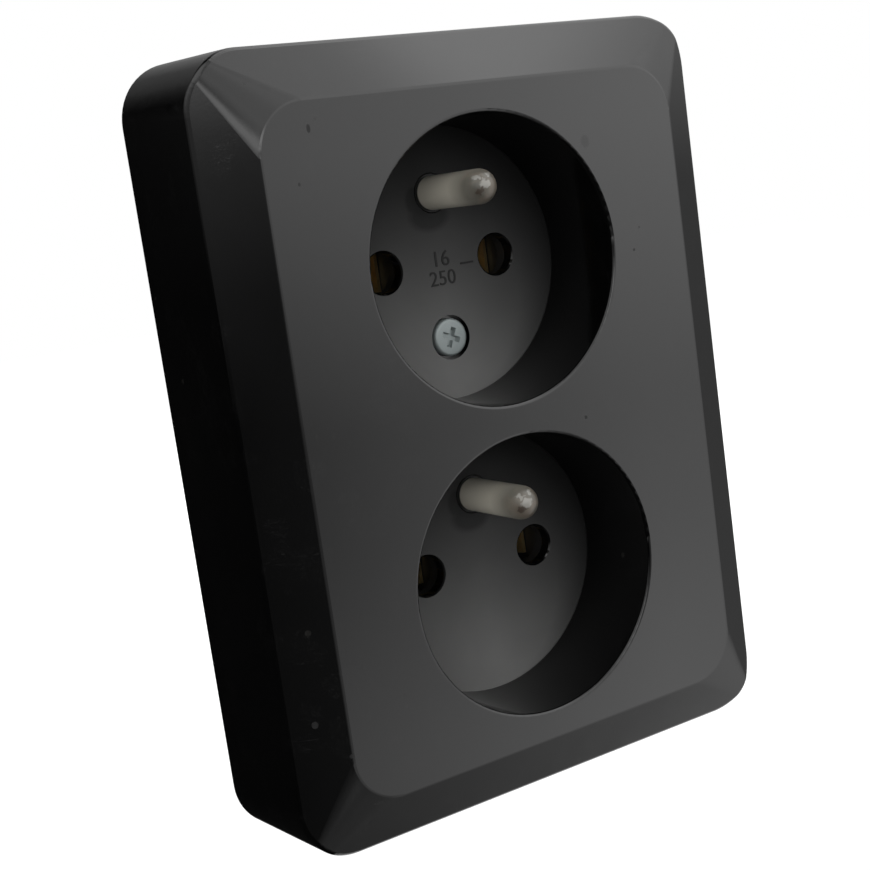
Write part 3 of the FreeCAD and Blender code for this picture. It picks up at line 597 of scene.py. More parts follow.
@dataclass(frozen=True)
class CoverPlastic(MouldedPlastic):
    """The cover's plastic: polished, matt on the two wells' floors, with the photograph's specks."""

    well_colour: Colour = (0.015, 0.015, 0.015)
    # Painted light on the wells' floors, standing in for light that falls in from above: its colour here, and
    # its roughness and spread below.
    well_painted_light_colour: Colour = (0.17, 0.17, 0.167)
    well_roughness: float = 0.95
    painted_light_roughness: float = 0.55
    painted_light_none_above_mm: float = 21.0
    painted_light_full_below_mm: float = -19.0
    painted_light_lean: float = 0.6
    painted_light_waviness_mm: float = 1.5
    painted_light_patch_scale: float = 70.0
    painted_light_patch_contrast: float = 1.8
    painted_light_bend: float = 2.7
    # Painted shade: the colour of the rim's and the pins' shadows on the wells' floors.
    shade_colour: Colour = (0.0006, 0.0006, 0.0006)
    spot_colour: Colour = (0.002, 0.002, 0.002)
    spot_roughness: float = 0.7
    # Painted light and shade: the floor is lit inside this round and gets the rim's painted shadow outside
    # it.
    painted_lit_round: Spot = Spot(-1.5, -5.3, 19.0, 19.0, 1.0)
    # Painted shadows of the earth pins on the wells' floors, below and left of each foot.
    painted_pin_shadows: tuple[Spot, ...] = ()
    spots: tuple[Spot, ...] = ()

    def mark(self, graph: Graph, place: Socket, colour: Socket, rough: Socket) -> tuple[Socket, Socket]:
        """Makes the wells' floors matt, paints light on them low down and painted shade at the top and round
        the pins' feet, and puts specks on the front.

        Args:
            graph: the material's graph.
            place: the place on the part.
            colour: the colour so far.
            rough: the roughness so far.

        Returns:
            The colour and the roughness.
        """
        well_inputs = {
            "Vector": place,
            "Rise": WELL_RISE,
            "Radius": WELL_RADIUS_MM * MM,
            "Front": WELL_FLOOR - WELL_FRONT_REACH_MM * MM,
            "Back": WELL_FLOOR + WELL_BACK_REACH_MM * MM,
        }
        well = place_group(graph, "well", well_inputs)
        above = above_middle(graph, place)
        # Painted light: the floor is made lighter low down and darker towards the right.
        lighter_share = self.painted_light_at(graph, place, above)
        lightened = graph.math("POWER", lighter_share, self.painted_light_bend)
        dull = graph.mix(lightened, rgba(*self.well_colour), rgba(*self.well_painted_light_colour))
        dull = graph.mix(self.shade_at(graph, place, above), dull, rgba(*self.shade_colour))
        colour = graph.mix(well, colour, dull)
        dull_rough = graph.remap(lighter_share, 0.0, 1.0, self.well_roughness, self.painted_light_roughness)
        rough = graph.blend(well, rough, dull_rough)
        for spot in self.spots:
            mask = spot.mask(graph, place)
            colour = graph.mix(mask, colour, rgba(*self.spot_colour))
            rough = graph.math("ADD", rough, graph.math("MULTIPLY", mask, self.spot_roughness), clamp=True)
        return colour, rough

    def painted_light_at(self, graph: Graph, place: Socket, above: Socket) -> Socket:
        """Paints light on a well's floor, as light falling in from above would: lighter low down, and darker
        towards the right.

        Args:
            graph: the material's graph.
            place: the place on the part.
            above: its height above the well's middle.

        Returns:
            The share of painted light.
        """
        inputs = {"Vector": place, "Scale": self.painted_light_patch_scale, "Contrast": self.painted_light_patch_contrast}
        patches = place_group(graph, "cloud", inputs)
        rightward = graph.math("MAXIMUM", graph.split(place)[0], 0.0)
        leaning = graph.math("ADD", above, graph.math("MULTIPLY", rightward, self.painted_light_lean))
        wave = self.painted_light_waviness_mm * MM
        uneven = graph.math("ADD", leaning, graph.remap(patches, 0.0, 1.0, -wave, wave))
        return graph.remap(uneven, self.painted_light_none_above_mm * MM, self.painted_light_full_below_mm * MM, 0.0, 1.0)

    def shade_at(self, graph: Graph, place: Socket, above: Socket) -> Socket:
        """Paints shade on a well's floor: the rim's shadow outside the painted lit round, and the pin's
        shadow by its foot.

        Args:
            graph: the material's graph.
            place: the place on the part.
            above: its height above the well's middle.

        Returns:
            The share of shade.
        """
        flat_inputs = {"X": graph.split(place)[0], "Y": CAD_BOX[0].y, "Z": above}
        flat = graph.add("ShaderNodeCombineXYZ", flat_inputs).outputs[0]
        # Painted shadow of the well's rim, outside the lit round.
        shade = graph.math("SUBTRACT", 1.0, self.painted_lit_round.mask(graph, flat))
        # Painted shadows of the pins.
        for foot_shade in self.painted_pin_shadows:
            shade = graph.math("MAXIMUM", shade, foot_shade.mask(graph, flat))
        return shade


@dataclass(frozen=True)
class SheetMetal(Finish):
    """A rolled, plated or drawn metal with fine lines, tarnish and scratches."""

    name: str
    slot: Slot
    colour: Colour
    tarnish: Colour
    roughness: float
    line_scale: float = 2500.0
    line_depth: float = 0.000004
    spangled: bool = False
    metallic: float = 1.0
    dent_depth: float = 0.0
    stain: Colour | None = None
    polish: float = 0.0
    tarnish_scale: float = 90.0
    tarnish_contrast: float = 2.4
    tarnish_share: float = 0.6
    tarnish_roughness: Range = (-0.06, 0.08)
    scratch_scale: float = 900.0
    scratch_width: float = 0.008
    crystal_scale: float = 260.0
    crystal_share: float = 0.35
    crystal_roughness: Range = (-0.08, 0.08)
    stain_scale: float = 330.0
    stain_contrast: float = 5.0
    stain_share: float = 0.45
    line_strength: float = 0.6
    dent_scale: float = 700.0
    dent_contrast: float = 1.5
    dent_strength: float = 0.7

    def dress(self, graph: Graph, place: Socket, shader: Node) -> None:
        """Puts lines in the height, tarnish in patches, and crystals where it is galvanised.

        Args:
            graph: the material's graph.
            place: the place on the part.
            shader: the material's shader.
        """
        links = graph.tree.links
        inputs = {"Vector": place, "Scale": self.tarnish_scale, "Contrast": self.tarnish_contrast}
        cloud = place_group(graph, "cloud", inputs)
        lines = place_group(graph, "brushing", {"Vector": place, "Scale": self.line_scale})
        inputs = {"Vector": place, "Scale": self.scratch_scale, "Width": self.scratch_width}
        scratches = place_group(graph, "scratches", inputs)
        tarnished = graph.math("MULTIPLY", cloud, self.tarnish_share)
        colour = graph.mix(tarnished, rgba(*self.colour), rgba(*self.tarnish))
        low, high = self.tarnish_roughness
        rough = graph.remap(cloud, 0.0, 1.0, self.roughness + low, self.roughness + high)
        if self.spangled:
            crystals = place_group(graph, "spangle", {"Vector": place, "Scale": self.crystal_scale})
            paler = graph.math("MULTIPLY", crystals, self.crystal_share)
            colour = graph.mix(paler, colour, rgba(*self.tarnish))
            rough = graph.math("ADD", rough, graph.remap(crystals, 0.0, 1.0, *self.crystal_roughness))
        scratched = graph.math("MULTIPLY", scratches, SCRATCH_SHARE)
        rough = graph.math("ADD", rough, scratched, clamp=True)
        if self.stain is not None:
            inputs = {"Vector": place, "Scale": self.stain_scale, "Contrast": self.stain_contrast}
            stained = graph.math("MULTIPLY", place_group(graph, "cloud", inputs), self.stain_share)
            colour = graph.mix(stained, colour, rgba(*self.stain))
        colour, rough = self.mark(graph, place, colour, rough)
        links.new(colour, shader.inputs["Base Color"])
        links.new(rough, shader.inputs["Roughness"])
        shader.inputs["Metallic"].default_value = self.metallic
        shader.inputs["Coat Weight"].default_value = self.polish
        shader.inputs["Coat Roughness"].default_value = COAT_ROUGHNESS
        inputs = {"Strength": self.line_strength, "Distance": self.line_depth, "Height": lines}
        bump = graph.add("ShaderNodeBump", inputs)
        if self.dent_depth:
            inputs = {"Vector": place, "Scale": self.dent_scale, "Contrast": self.dent_contrast}
            dents = place_group(graph, "cloud", inputs)
            inputs = {"Strength": self.dent_strength, "Distance": self.dent_depth, "Height": dents}
            bump = graph.add("ShaderNodeBump", {**inputs, "Normal": bump.outputs[0]})
        links.new(bump.outputs[0], shader.inputs["Normal"])

    def mark(self, graph: Graph, place: Socket, colour: Socket, rough: Socket) -> tuple[Socket, Socket]:
        """Adds what only one metal piece has. The plain one has nothing more."""
        return colour, rough


@dataclass(frozen=True)
class PinPlating(SheetMetal):
    """The earth pins' plating: dull, with painted light that makes the body paler towards the foot, painted
    highlights and a brown spot on the nose, and painted shade at its foot.
    """

    body_painted_light_colour: Colour = (0.56, 0.53, 0.45)
    painted_highlight_colour: Colour = (0.27, 0.264, 0.242)
    brown_colour: Colour = (0.045, 0.03, 0.022)
    foot_shade_colour: Colour = (0.004, 0.004, 0.004)
    foot_shade_roughness: float = 0.95
    foot_shade_from_mm: float = 0.35
    foot_shade_full_mm: float = 0.05
    nose_mm: float = 0.8
    body_light_from_mm: float = 6.5
    spot_raggedness_mm: float = 1.2
    ragged_scale: float = 1500.0
    painted_highlights: tuple[Spot, ...] = ()
    brown: tuple[Spot, ...] = ()

    def mark(self, graph: Graph, place: Socket, colour: Socket, rough: Socket) -> tuple[Socket, Socket]:
        """Puts on the painted light of the paler body, the painted highlights and the brown spot of the nose,
        and the painted shade at the foot.

        Args:
            graph: the material's graph.
            place: the place on the part.
            colour: the colour so far.
            rough: the roughness so far.

        Returns:
            The colour and the roughness.
        """
        across, depth, _ = graph.split(place)
        nose = UPPER_PIN[0].y
        # Painted light: the body turns paler from near the nose towards the foot; the darker nose is painted
        # shade.
        body_light = graph.remap(depth, nose + self.nose_mm * MM, nose + self.body_light_from_mm * MM, 0.0, 1.0)
        colour = graph.mix(body_light, colour, rgba(*self.body_painted_light_colour))
        inputs = {"Vector": place, "Scale": self.ragged_scale, "Detail": 1.0}
        noise = graph.add("ShaderNodeTexNoise", inputs)
        shift = graph.vector("SUBTRACT", {0: noise.outputs["Color"], 1: (0.5, 0.5, 0.5)})
        small = graph.vector("SCALE", {0: shift, "Scale": self.spot_raggedness_mm * MM})
        flat = graph.add("ShaderNodeCombineXYZ", {"X": across, "Y": depth, "Z": above_middle(graph, place)})
        moved = graph.vector("ADD", {0: flat.outputs[0], 1: small})
        # Brown spots, then painted highlights: paler spots where a lamp's reflection shows on the nose.
        for spots, spot_colour in ((self.brown, self.brown_colour), (self.painted_highlights, self.painted_highlight_colour)):
            for spot in spots:
                colour = graph.mix(spot.mask(graph, moved), colour, rgba(*spot_colour))
        # Painted shade: the pin turns near black just in front of the floor, where it enters its hole.
        foot_shade_front = WELL_FLOOR - self.foot_shade_from_mm * MM
        foot_shade_back = WELL_FLOOR - self.foot_shade_full_mm * MM
        foot_shade = graph.remap(depth, foot_shade_front, foot_shade_back, 0.0, 1.0)
        rough = graph.blend(foot_shade, rough, self.foot_shade_roughness)
        return graph.mix(foot_shade, colour, rgba(*self.foot_shade_colour)), rough


FRONT_SPOTS = (
    Spot(-25.6, 41.8, 0.30, 0.60, 0.9),
    Spot(-28.0, 35.2, 0.22, 0.28, 0.8),
    Spot(-24.5, 42.9, 0.25, 0.25, 0.4),
    Spot(-32.5, 48.1, 0.25, 0.30, 0.4),
    Spot(16.9, 35.9, 0.75, 0.90, 0.3),
    Spot(23.3, 20.0, 0.22, 0.22, 0.8),
    Spot(24.7, 23.0, 0.20, 0.20, 0.5),
    Spot(11.2, -1.9, 0.30, 0.30, 0.9),
    Spot(-36.4, -33.0, 0.40, 0.50, 0.8),
    Spot(-32.9, -37.9, 0.25, 0.30, 0.6),
    Spot(-23.9, -32.3, 0.20, 0.25, 0.4),
    Spot(-29.8, -45.4, 0.70, 0.20, 0.8),
)

COVER_BLACK = CoverPlastic(
    "cover_black_plastic",
    Slot.COVER,
    (0.0012, 0.0012, 0.0013),
    (0.0026, 0.0026, 0.0026),
    0.10,
    dust_strength=0.06,
    grain_depth=0.000003,
    # painted shadows of the pins, below and left of each foot
    painted_pin_shadows=(Spot(-0.9, 6.9, 3.3, 2.2, 0.95), Spot(-3.0, 9.2, 1.5, 2.2, 0.9)),
    spots=FRONT_SPOTS,
)
MARK_BLACK = MouldedPlastic(
    "mark_black_plastic", Slot.COVER, (0.003, 0.003, 0.003), (0.006, 0.006, 0.006), 0.80, dust_strength=0.04
)
BASE_GREY = MouldedPlastic(
    "base_grey_thermoset", Slot.BASE, (0.007, 0.007, 0.007), (0.012, 0.0117, 0.0114), 0.5, grain_depth=0.00002
)
CAP_GREY = MouldedPlastic(
    "cap_grey_thermoset", Slot.CAP, (0.075, 0.075, 0.074), (0.10, 0.10, 0.096), 0.48, grain_depth=0.00002
)
FRAME_STEEL = SheetMetal(
    "galvanised_sheet", Slot.FRAME, (0.56, 0.57, 0.58), (0.42, 0.43, 0.45), 0.38, spangled=True
)
SCREW_ZINC = SheetMetal(
    "zinc_plated_steel", Slot.SCREW, (0.26, 0.29, 0.29), (0.19, 0.225, 0.225), 0.40, metallic=0.35
)
RIVET_STEEL = SheetMetal("rivet_steel", Slot.RIVET, (0.52, 0.52, 0.53), (0.38, 0.38, 0.40), 0.34)
SPRING_STEEL = SheetMetal("spring_steel", Slot.SPRING, (0.24, 0.24, 0.26), (0.15, 0.15, 0.17), 0.34)
# Painted shade: the brass parts are near black so that what shows in the contact holes stays dark.
SHADE_DARKENED_BRASS = SheetMetal("contact_brass", Slot.CONTACT, (0.035, 0.025, 0.012), (0.018, 0.012, 0.007), 0.45)
# The dark plain colour shows at the nose as painted shade; the body's painted light makes the pin paler
# towards the foot.
PIN_NICKEL = PinPlating(
    "nickel_plated_brass",
    Slot.PIN,
    (0.085, 0.082, 0.069),
    (0.07, 0.067, 0.056),
    0.42,
    metallic=0.15,
    dent_depth=0.00002,
    stain=(0.19, 0.15, 0.115),
    polish=0.15,
    # painted highlights on the nose, where a lamp's reflection shows
    painted_highlights=(
        Spot(-0.45, 10.28, 0.75, 0.60, 0.9),
        Spot(0.46, 11.54, 0.38, 0.34, 0.8),
        Spot(-1.15, 11.25, 0.50, 0.30, 0.8),
    ),
    brown=(Spot(-1.15, 9.45, 0.60, 0.50, 0.8),),
)

NODE_FINISHES: dict[str, Finish] = {
    "front_cover": COVER_BLACK,
    "socket_base": BASE_GREY,
    "rear_cap": CAP_GREY,
    "mounting_frame": FRAME_STEEL,
    "cover_screw_bush": SHADE_DARKENED_BRASS,
    "neutral_contact_strip": SHADE_DARKENED_BRASS,
    "live_contact_strip": SHADE_DARKENED_BRASS,
    "earth_strip": SHADE_DARKENED_BRASS,
    "upper_neutral_contact_spring": SPRING_STEEL,
    "lower_neutral_contact_spring": SPRING_STEEL,
    "upper_live_contact_spring": SPRING_STEEL,
    "lower_live_contact_spring": SPRING_STEEL,
    "live_clamp_plate": SCREW_ZINC,
    "neutral_clamp_plate": SCREW_ZINC,
    "earth_clamp_plate": SCREW_ZINC,
    "upper_left_frame_rivet": RIVET_STEEL,
    "lower_left_frame_rivet": RIVET_STEEL,
    "upper_right_frame_rivet": RIVET_STEEL,
    "lower_right_frame_rivet": RIVET_STEEL,
    "upper_earth_pin": PIN_NICKEL,
    "lower_earth_pin": PIN_NICKEL,
}


def direction(azimuth_deg: float, elevation_deg: float) -> Vector:
    """Gives the unit vector from the part towards a place.

    Args:
        azimuth_deg: its azimuth, from the front towards the right.
        elevation_deg: its height above the level.

    Returns:
        The unit vector.
    """
    azimuth = math.radians(azimuth_deg)
    elevation = math.radians(elevation_deg)
    level = math.cos(elevation)
    return Vector((math.sin(azimuth) * level, -math.cos(azimuth) * level, math.sin(elevation)))


def facing_part(azimuth_deg: float, elevation_deg: float, distance: float) -> Matrix:
    """Gives the matrix of a lamp that stands at that direction and distance and faces the part."""
    place = direction(azimuth_deg, elevation_deg) * distance
    return Matrix.Translation(place) @ (-place).to_track_quat("-Z", "Y").to_matrix().to_4x4()


def as_object(shape: bmesh.types.BMesh, name: str) -> bpy.types.Object:
    """Makes a mesh object of a finished shape, and frees the shape.

    Args:
        shape: the finished shape.
        name: the name of the object and of its mesh.

    Returns:
        The object, in the scene.
    """
    mesh = bpy.data.meshes.new(name)
    shape.to_mesh(mesh)
    shape.free()
    return in_scene(name, mesh)


def in_scene(name: str, data: bpy.types.ID) -> bpy.types.Object:
    """Makes an object and puts it in the scene.

    Args:
        name: the object's name.
        data: its mesh, text, lamp or camera.

    Returns:
        The object.
    """
    made = bpy.data.objects.new(name, data)
    bpy.context.scene.collection.objects.link(made)
    return made


def as_mesh(made: bpy.types.Object) -> bpy.types.Mesh:
    """Gives an object's mesh as it looks: with its modifiers, or of its text."""
    bpy.context.view_layer.update()
    return bpy.data.meshes.new_from_object(made.evaluated_get(bpy.context.evaluated_depsgraph_get()))


@dataclass(frozen=True)
class Lamp:
    """A soft rectangular lamp that lights the part and doesn't show in its gloss."""

    name: str
    azimuth_deg: float
    elevation_deg: float
    distance: float
    width: float
    height: float
    watts: float

    def build(self) -> None:
        """Makes the lamp."""
        data = bpy.data.lights.new(self.name, "AREA")
        data.shape = "RECTANGLE"
        data.size = self.width
        data.size_y = self.height
        data.energy = self.watts
        lamp = in_scene(self.name, data)
        lamp.matrix_world = facing_part(self.azimuth_deg, self.elevation_deg, self.distance)
        lamp.visible_glossy = False


@dataclass(frozen=True)
class Panel:
    """A lit area on the surround, which only the gloss of the part shows. Angles are in degrees."""

    azimuth: float
    elevation: float
    half_width: float
    half_height: float
    softness: float
    strength: float


@dataclass(frozen=True)
class Surround:
    """A dark shell round the part with lit panels. Only the part's gloss shows it."""

    radius: float = 1.0
    dark_level: float = 0.006
    panels: tuple[Panel, ...] = ()

    def build(self) -> None:
        """Makes the shell."""
        shape = bmesh.new()
        bmesh.ops.create_icosphere(shape, subdivisions=4, radius=self.radius)
        shell = as_object(shape, "studio_surround")
        shell.data.materials.append(self.material())
        shell.visible_camera = False
        shell.visible_diffuse = False
        shell.visible_shadow = False
        shell.visible_transmission = False

    def material(self) -> bpy.types.Material:
        """Adds each panel's light to the dark level, by direction from the part.

        Returns:
            The shell's material.
        """
        material = bpy.data.materials.new("studio_surround")
        material.use_nodes = True
        graph = Graph(material.node_tree)
        place = graph.add("ShaderNodeTexCoord").outputs["Object"]
        across, back, level_up = graph.split(graph.vector("NORMALIZE", {0: place}))
        ahead = graph.math("MULTIPLY", back, -1.0)
        azimuth = graph.math("DEGREES", graph.math("ARCTAN2", across, ahead))
        elevation = graph.math("DEGREES", graph.math("ARCSINE", level_up))
        level = self.dark_level
        for panel in self.panels:
            inputs = {
                "Azimuth": azimuth,
                "Elevation": elevation,
                "Middle azimuth": panel.azimuth,
                "Middle elevation": panel.elevation,
                "Half width": panel.half_width,
                "Half height": panel.half_height,
                "Softness": panel.softness,
            }
            light = graph.math("MULTIPLY", place_group(graph, "panel", inputs), panel.strength)
            level = graph.math("ADD", level, light)
        glow = graph.add("ShaderNodeEmission", {"Color": rgba(1, 1, 1), "Strength": level})
        graph.add("ShaderNodeOutputMaterial", {"Surface": glow.outputs[0]})
        return material


LAMPS = (
    Lamp("high_window_lamp", 32.0, 56.0, 1.2, 0.55, 0.45, 6.5),
    Lamp("left_front_lamp", -42.0, 5.0, 1.3, 0.90, 0.90, 10.0),
    Lamp("rear_lamp", 160.0, 30.0, 1.4, 0.90, 0.90, 14.0),
)

PANELS = (
    Panel(36.5, -12.8, 61.5, 50.6, 31.3, 0.35),
    Panel(54.2, -0.3, 20.2, 44.4, 41.6, 0.88),
    Panel(24.9, 38.0, 35.4, 40.2, 12.3, 1.03),
    Panel(66.6, 56.3, 15.4, 11.5, 3.5, 0.85),
    Panel(-15.5, 13.2, 25.0, 5.2, 5.0, 2.16),
    Panel(-73.2, 55.4, 56.3, 34.5, 45.1, 1.64),
    Panel(122.2, -56.2, 33.1, 15.2, 20.2, 1.33),
    Panel(94.3, 83.1, 40.4, 53.2, 57.7, 2.19),
    Panel(39.3, -13.8, 2.6, 18.4, 30.1, 1.15),
    Panel(51.1, -47.6, 33.7, 17.0, 42.7, 0.34),
    Panel(23.6, 31.7, 17.7, 19.6, 14.0, 0.58),
    Panel(139.9, 39.0, 24.8, 57.9, 28.6, 0.29),
    Panel(-67.1, 4.8, 31.6, 9.0, 5.0, 0.13),
    Panel(63.2, 58.0, 7.9, 7.3, 8.0, 0.56),
    Panel(17.0, -28.0, 26.9, 9.7, 9.1, 0.43),
    Panel(176.6, 37.0, 27.0, 10.6, 18.8, 0.20),
    Panel(146.0, -14.0, 18.0, 13.0, 12.0, 0.80),
)


@dataclass
class Studio:
    """The camera, the lamps, the surround, the floor and the background."""

    camera_place_mm: tuple[float, float, float] = (-115.8, -192.0, 32.6)
    aim_mm: tuple[float, float, float] = (-6.757, -11.5, -1.481)
    roll_deg: float = 8.04
    lens_mm: float = 62.88
    sensor_mm: float = 36.0
    near_limit: float = 0.005
    room_sides: Range = (-0.4, 0.5)
    room_light: Range = (0.16, 0.24)
    floor_drop: float = 0.15
    floor_size: float = 6.0
    floor_colour: Colour = (0.3, 0.3, 0.3)
    floor_glow_near: float = 0.72
    shadow_from: float = 0.25
    shadow_to: float = 0.8

    def build(self) -> None:
        """Makes the whole stage."""
        self.make_camera()
        self.make_world()
        self.make_floor()
        for lamp in LAMPS:
            lamp.build()
        Surround(panels=PANELS).build()
        bpy.context.scene.view_settings.view_transform = "Standard"

    def make_camera(self) -> None:
        """Makes the photograph's camera, from its place, its aim and its roll."""
        data = bpy.data.cameras.new("photo_camera")
        data.lens = self.lens_mm
        data.sensor_width = self.sensor_mm
        data.clip_start = self.near_limit
        camera = in_scene("photo_camera", data)
        place = Vector(self.camera_place_mm) * MM
        ahead = (Vector(self.aim_mm) * MM - place).normalized()
        upright = ahead.to_track_quat("-Z", "Y").to_matrix()
        turned = Matrix.Rotation(math.radians(self.roll_deg), 3, ahead) @ upright
        camera.matrix_world = Matrix.Translation(place) @ turned.to_4x4()
        bpy.context.scene.camera = camera

    def make_world(self) -> None:
        """Makes the background: white to the camera and in gloss, and dim for the part's own light."""
        world = bpy.data.worlds.new("studio_world")
        bpy.context.scene.world = world
        world.use_nodes = True
        graph = Graph(world.node_tree)
        way = graph.add("ShaderNodeTexCoord").outputs["Generated"]
        room = graph.remap(graph.split(way)[0], *self.room_sides, *self.room_light)
        path = graph.add("ShaderNodeLightPath")
        seen = graph.math("MAXIMUM", path.outputs["Is Camera Ray"], path.outputs["Is Transmission Ray"])
        seen = graph.math("MAXIMUM", seen, path.outputs["Is Glossy Ray"])
        strength = graph.math("MAXIMUM", seen, room)
        background = graph.add("ShaderNodeBackground", {"Color": rgba(1, 1, 1), "Strength": strength})
        graph.add("ShaderNodeOutputWorld", {"Surface": background.outputs[0]})

    def make_floor(self) -> None:
        """Makes a wide pale floor well below the part. It keeps the part's soft shadow."""
        shape = bmesh.new()
        bmesh.ops.create_grid(shape, x_segments=1, y_segments=1, size=self.floor_size / 2)
        bmesh.ops.translate(shape, verts=shape.verts, vec=(0, 0, CAD_BOX[0].z - self.floor_drop))
        floor = as_object(shape, "studio_floor")
        floor.data.materials.append(self.floor_material())
        floor.visible_glossy = False

    def floor_material(self) -> bpy.types.Material:
        """Makes a floor that fades into the white background, apart from the part's shadow.

        Returns:
            The floor's material.
        """
        material = bpy.data.materials.new("studio_floor")
        material.use_nodes = True
        graph = Graph(material.node_tree)
        diffuse = graph.add("ShaderNodeBsdfDiffuse", {"Color": rgba(*self.floor_colour)})
        path = graph.add("ShaderNodeLightPath")
        place = graph.add("ShaderNodeTexCoord").outputs["Object"]
        away = graph.vector("LENGTH", {0: place}, "Value")
        white = graph.remap(away, self.shadow_from, self.shadow_to, self.floor_glow_near, 1.0)
        lift = graph.math("MULTIPLY", path.outputs["Is Camera Ray"], white)
        glow = graph.add("ShaderNodeEmission", {"Color": rgba(1, 1, 1), "Strength": lift})
        both = graph.add("ShaderNodeAddShader", {0: diffuse.outputs[0], 1: glow.outputs[0]})
        graph.add("ShaderNodeOutputMaterial", {"Surface": both.outputs[0]})
        return material


@dataclass(frozen=True)
class Thread:
    """A one-start thread with a flat crest and a flat root, which runs out at both ends."""

    start_mm: float
    end_mm: float
    root_mm: float
    crest_mm: float
    pitch_mm: float
    rows_a_turn: int = 8
    flank_slope: float = 1.5
    flank_start: float = -0.25

    @property
    def rows(self) -> int:
        """Gives the number of profile steps along the thread."""
        return math.ceil((self.end_mm - self.start_mm) / self.pitch_mm * self.rows_a_turn)

    def profile(self) -> list[tuple[float, float]]:
        """Gives the profile's points along the thread, at its root."""
        step = (self.end_mm - self.start_mm) / self.rows
        return [(self.start_mm + step * row, self.root_mm) for row in range(self.rows + 1)]

    def lift(self, vertex: bmesh.types.BMVert) -> None:
        """Moves a vertex out to its place on the thread. Vertices outside the thread stay.

        Args:
            vertex: a vertex of the turned solid.
        """
        y_mm = vertex.co.y / MM
        along = (y_mm - self.start_mm) / (self.end_mm - self.start_mm)
        turns_in = self.rows / self.rows_a_turn
        fade = max(0.0, min(1.0, along * turns_in, (1 - along) * turns_in))
        turn = math.atan2(vertex.co.z, vertex.co.x) / (2 * math.pi)
        ridge = abs(2 * ((y_mm / self.pitch_mm - turn) % 1.0) - 1)
        share = min(1.0, max(0.0, self.flank_slope * ridge + self.flank_start))
        height = (self.crest_mm - self.root_mm) * share
        growth = 1 + fade * height / self.root_mm
        vertex.co.x *= growth
        vertex.co.z *= growth


@dataclass
class Lathe:
    """Turns one closed solid about the Y axis from its profile, and raises a thread on it."""

    steps: int = 48
    profile: list[tuple[float, float]] = field(default_factory=list)

    def ring(self, y_mm: float, radius_mm: float) -> None:
        """Adds one point to the profile."""
        self.profile.append((y_mm, radius_mm))

    def dome(self, depth_mm: float, r0_mm: float, r1_mm: float, steps: int) -> None:
        """Adds a quarter ellipse that starts flat at y = 0 and ends steep.

        Args:
            depth_mm: how far it falls.
            r0_mm: its first radius.
            r1_mm: its last radius.
            steps: the number of its straight pieces.
        """
        for step in range(steps + 1):
            angle = math.pi / 2 * step / steps
            self.ring(depth_mm * (1 - math.cos(angle)), r0_mm + (r1_mm - r0_mm) * math.sin(angle))

    def turned(self, thread: Thread) -> bmesh.types.BMesh:
        """Spins the profile into a solid, closes its two ends and raises the thread.

        Args:
            thread: the thread, whose rows are in the profile.

        Returns:
            The solid.
        """
        built = bmesh.new()
        points = [built.verts.new((radius_mm * MM, y_mm * MM, 0.0)) for y_mm, radius_mm in self.profile]
        edges = [built.edges.new(pair) for pair in zip(points, points[1:])]
        bmesh.ops.spin(
            built,
            geom=points + edges,
            cent=(0, 0, 0),
            axis=(0, -1, 0),
            angle=2 * math.pi,
            steps=self.steps,
            use_merge=True,
        )
        rims = [edge for edge in built.edges if edge.is_boundary]
        bmesh.ops.holes_fill(built, edges=rims, sides=0)
        for vertex in built.verts:
            thread.lift(vertex)
        bmesh.ops.recalc_face_normals(built, faces=built.faces)
        return built


def cut(piece: bpy.types.Object, cutter: bpy.types.Object) -> None:
    """Cuts one mesh out of another for good, and deletes the cutter.

    Args:
        piece: the object that is cut.
        cutter: the object whose form is taken away.
    """
    modifier = piece.modifiers.new("cut", "BOOLEAN")
    modifier.operation = "DIFFERENCE"
    modifier.solver = "EXACT"
    modifier.object = cutter
    result = as_mesh(piece)
    piece.modifiers.clear()
    result.name = piece.name
    piece.data = result
    bpy.data.objects.remove(cutter)


DRIVE_FOOT_SHARE = 0.6
DRIVE_OVERRUN_MM = 0.5


def wedge_bar(span_mm: float, width_mm: float, depth_mm: float, turn_deg: float) -> bpy.types.Object:
    """Makes a bar across the axis that is narrower at its foot, to cut one slot of a drive.

    Args:
        span_mm: its length at the head's top.
        width_mm: its width at the head's top.
        depth_mm: how deep it cuts.
        turn_deg: its turn about the screw's axis.

    Returns:
        The bar.
    """
    shape = bmesh.new()
    bmesh.ops.create_cube(shape, size=1.0)
    for vertex in shape.verts:
        at_foot = vertex.co.y > 0
        share = DRIVE_FOOT_SHARE if at_foot else 1.0
        level = depth_mm if at_foot else -DRIVE_OVERRUN_MM
        vertex.co = Vector((vertex.co.x * span_mm * share, level, vertex.co.z * width_mm * share)) * MM
    turn = Matrix.Rotation(math.radians(turn_deg), 3, "Y")
    bmesh.ops.rotate(shape, verts=shape.verts, cent=(0, 0, 0), matrix=turn)
    return as_object(shape, "drive_cutter")


@dataclass(frozen=True)
class ScrewHead:
    """The part of a screw above its seat. Heights run from the seat to the top."""

    radius_mm: float
    height_mm: float
    edge_round_mm: float
    countersunk: bool = False


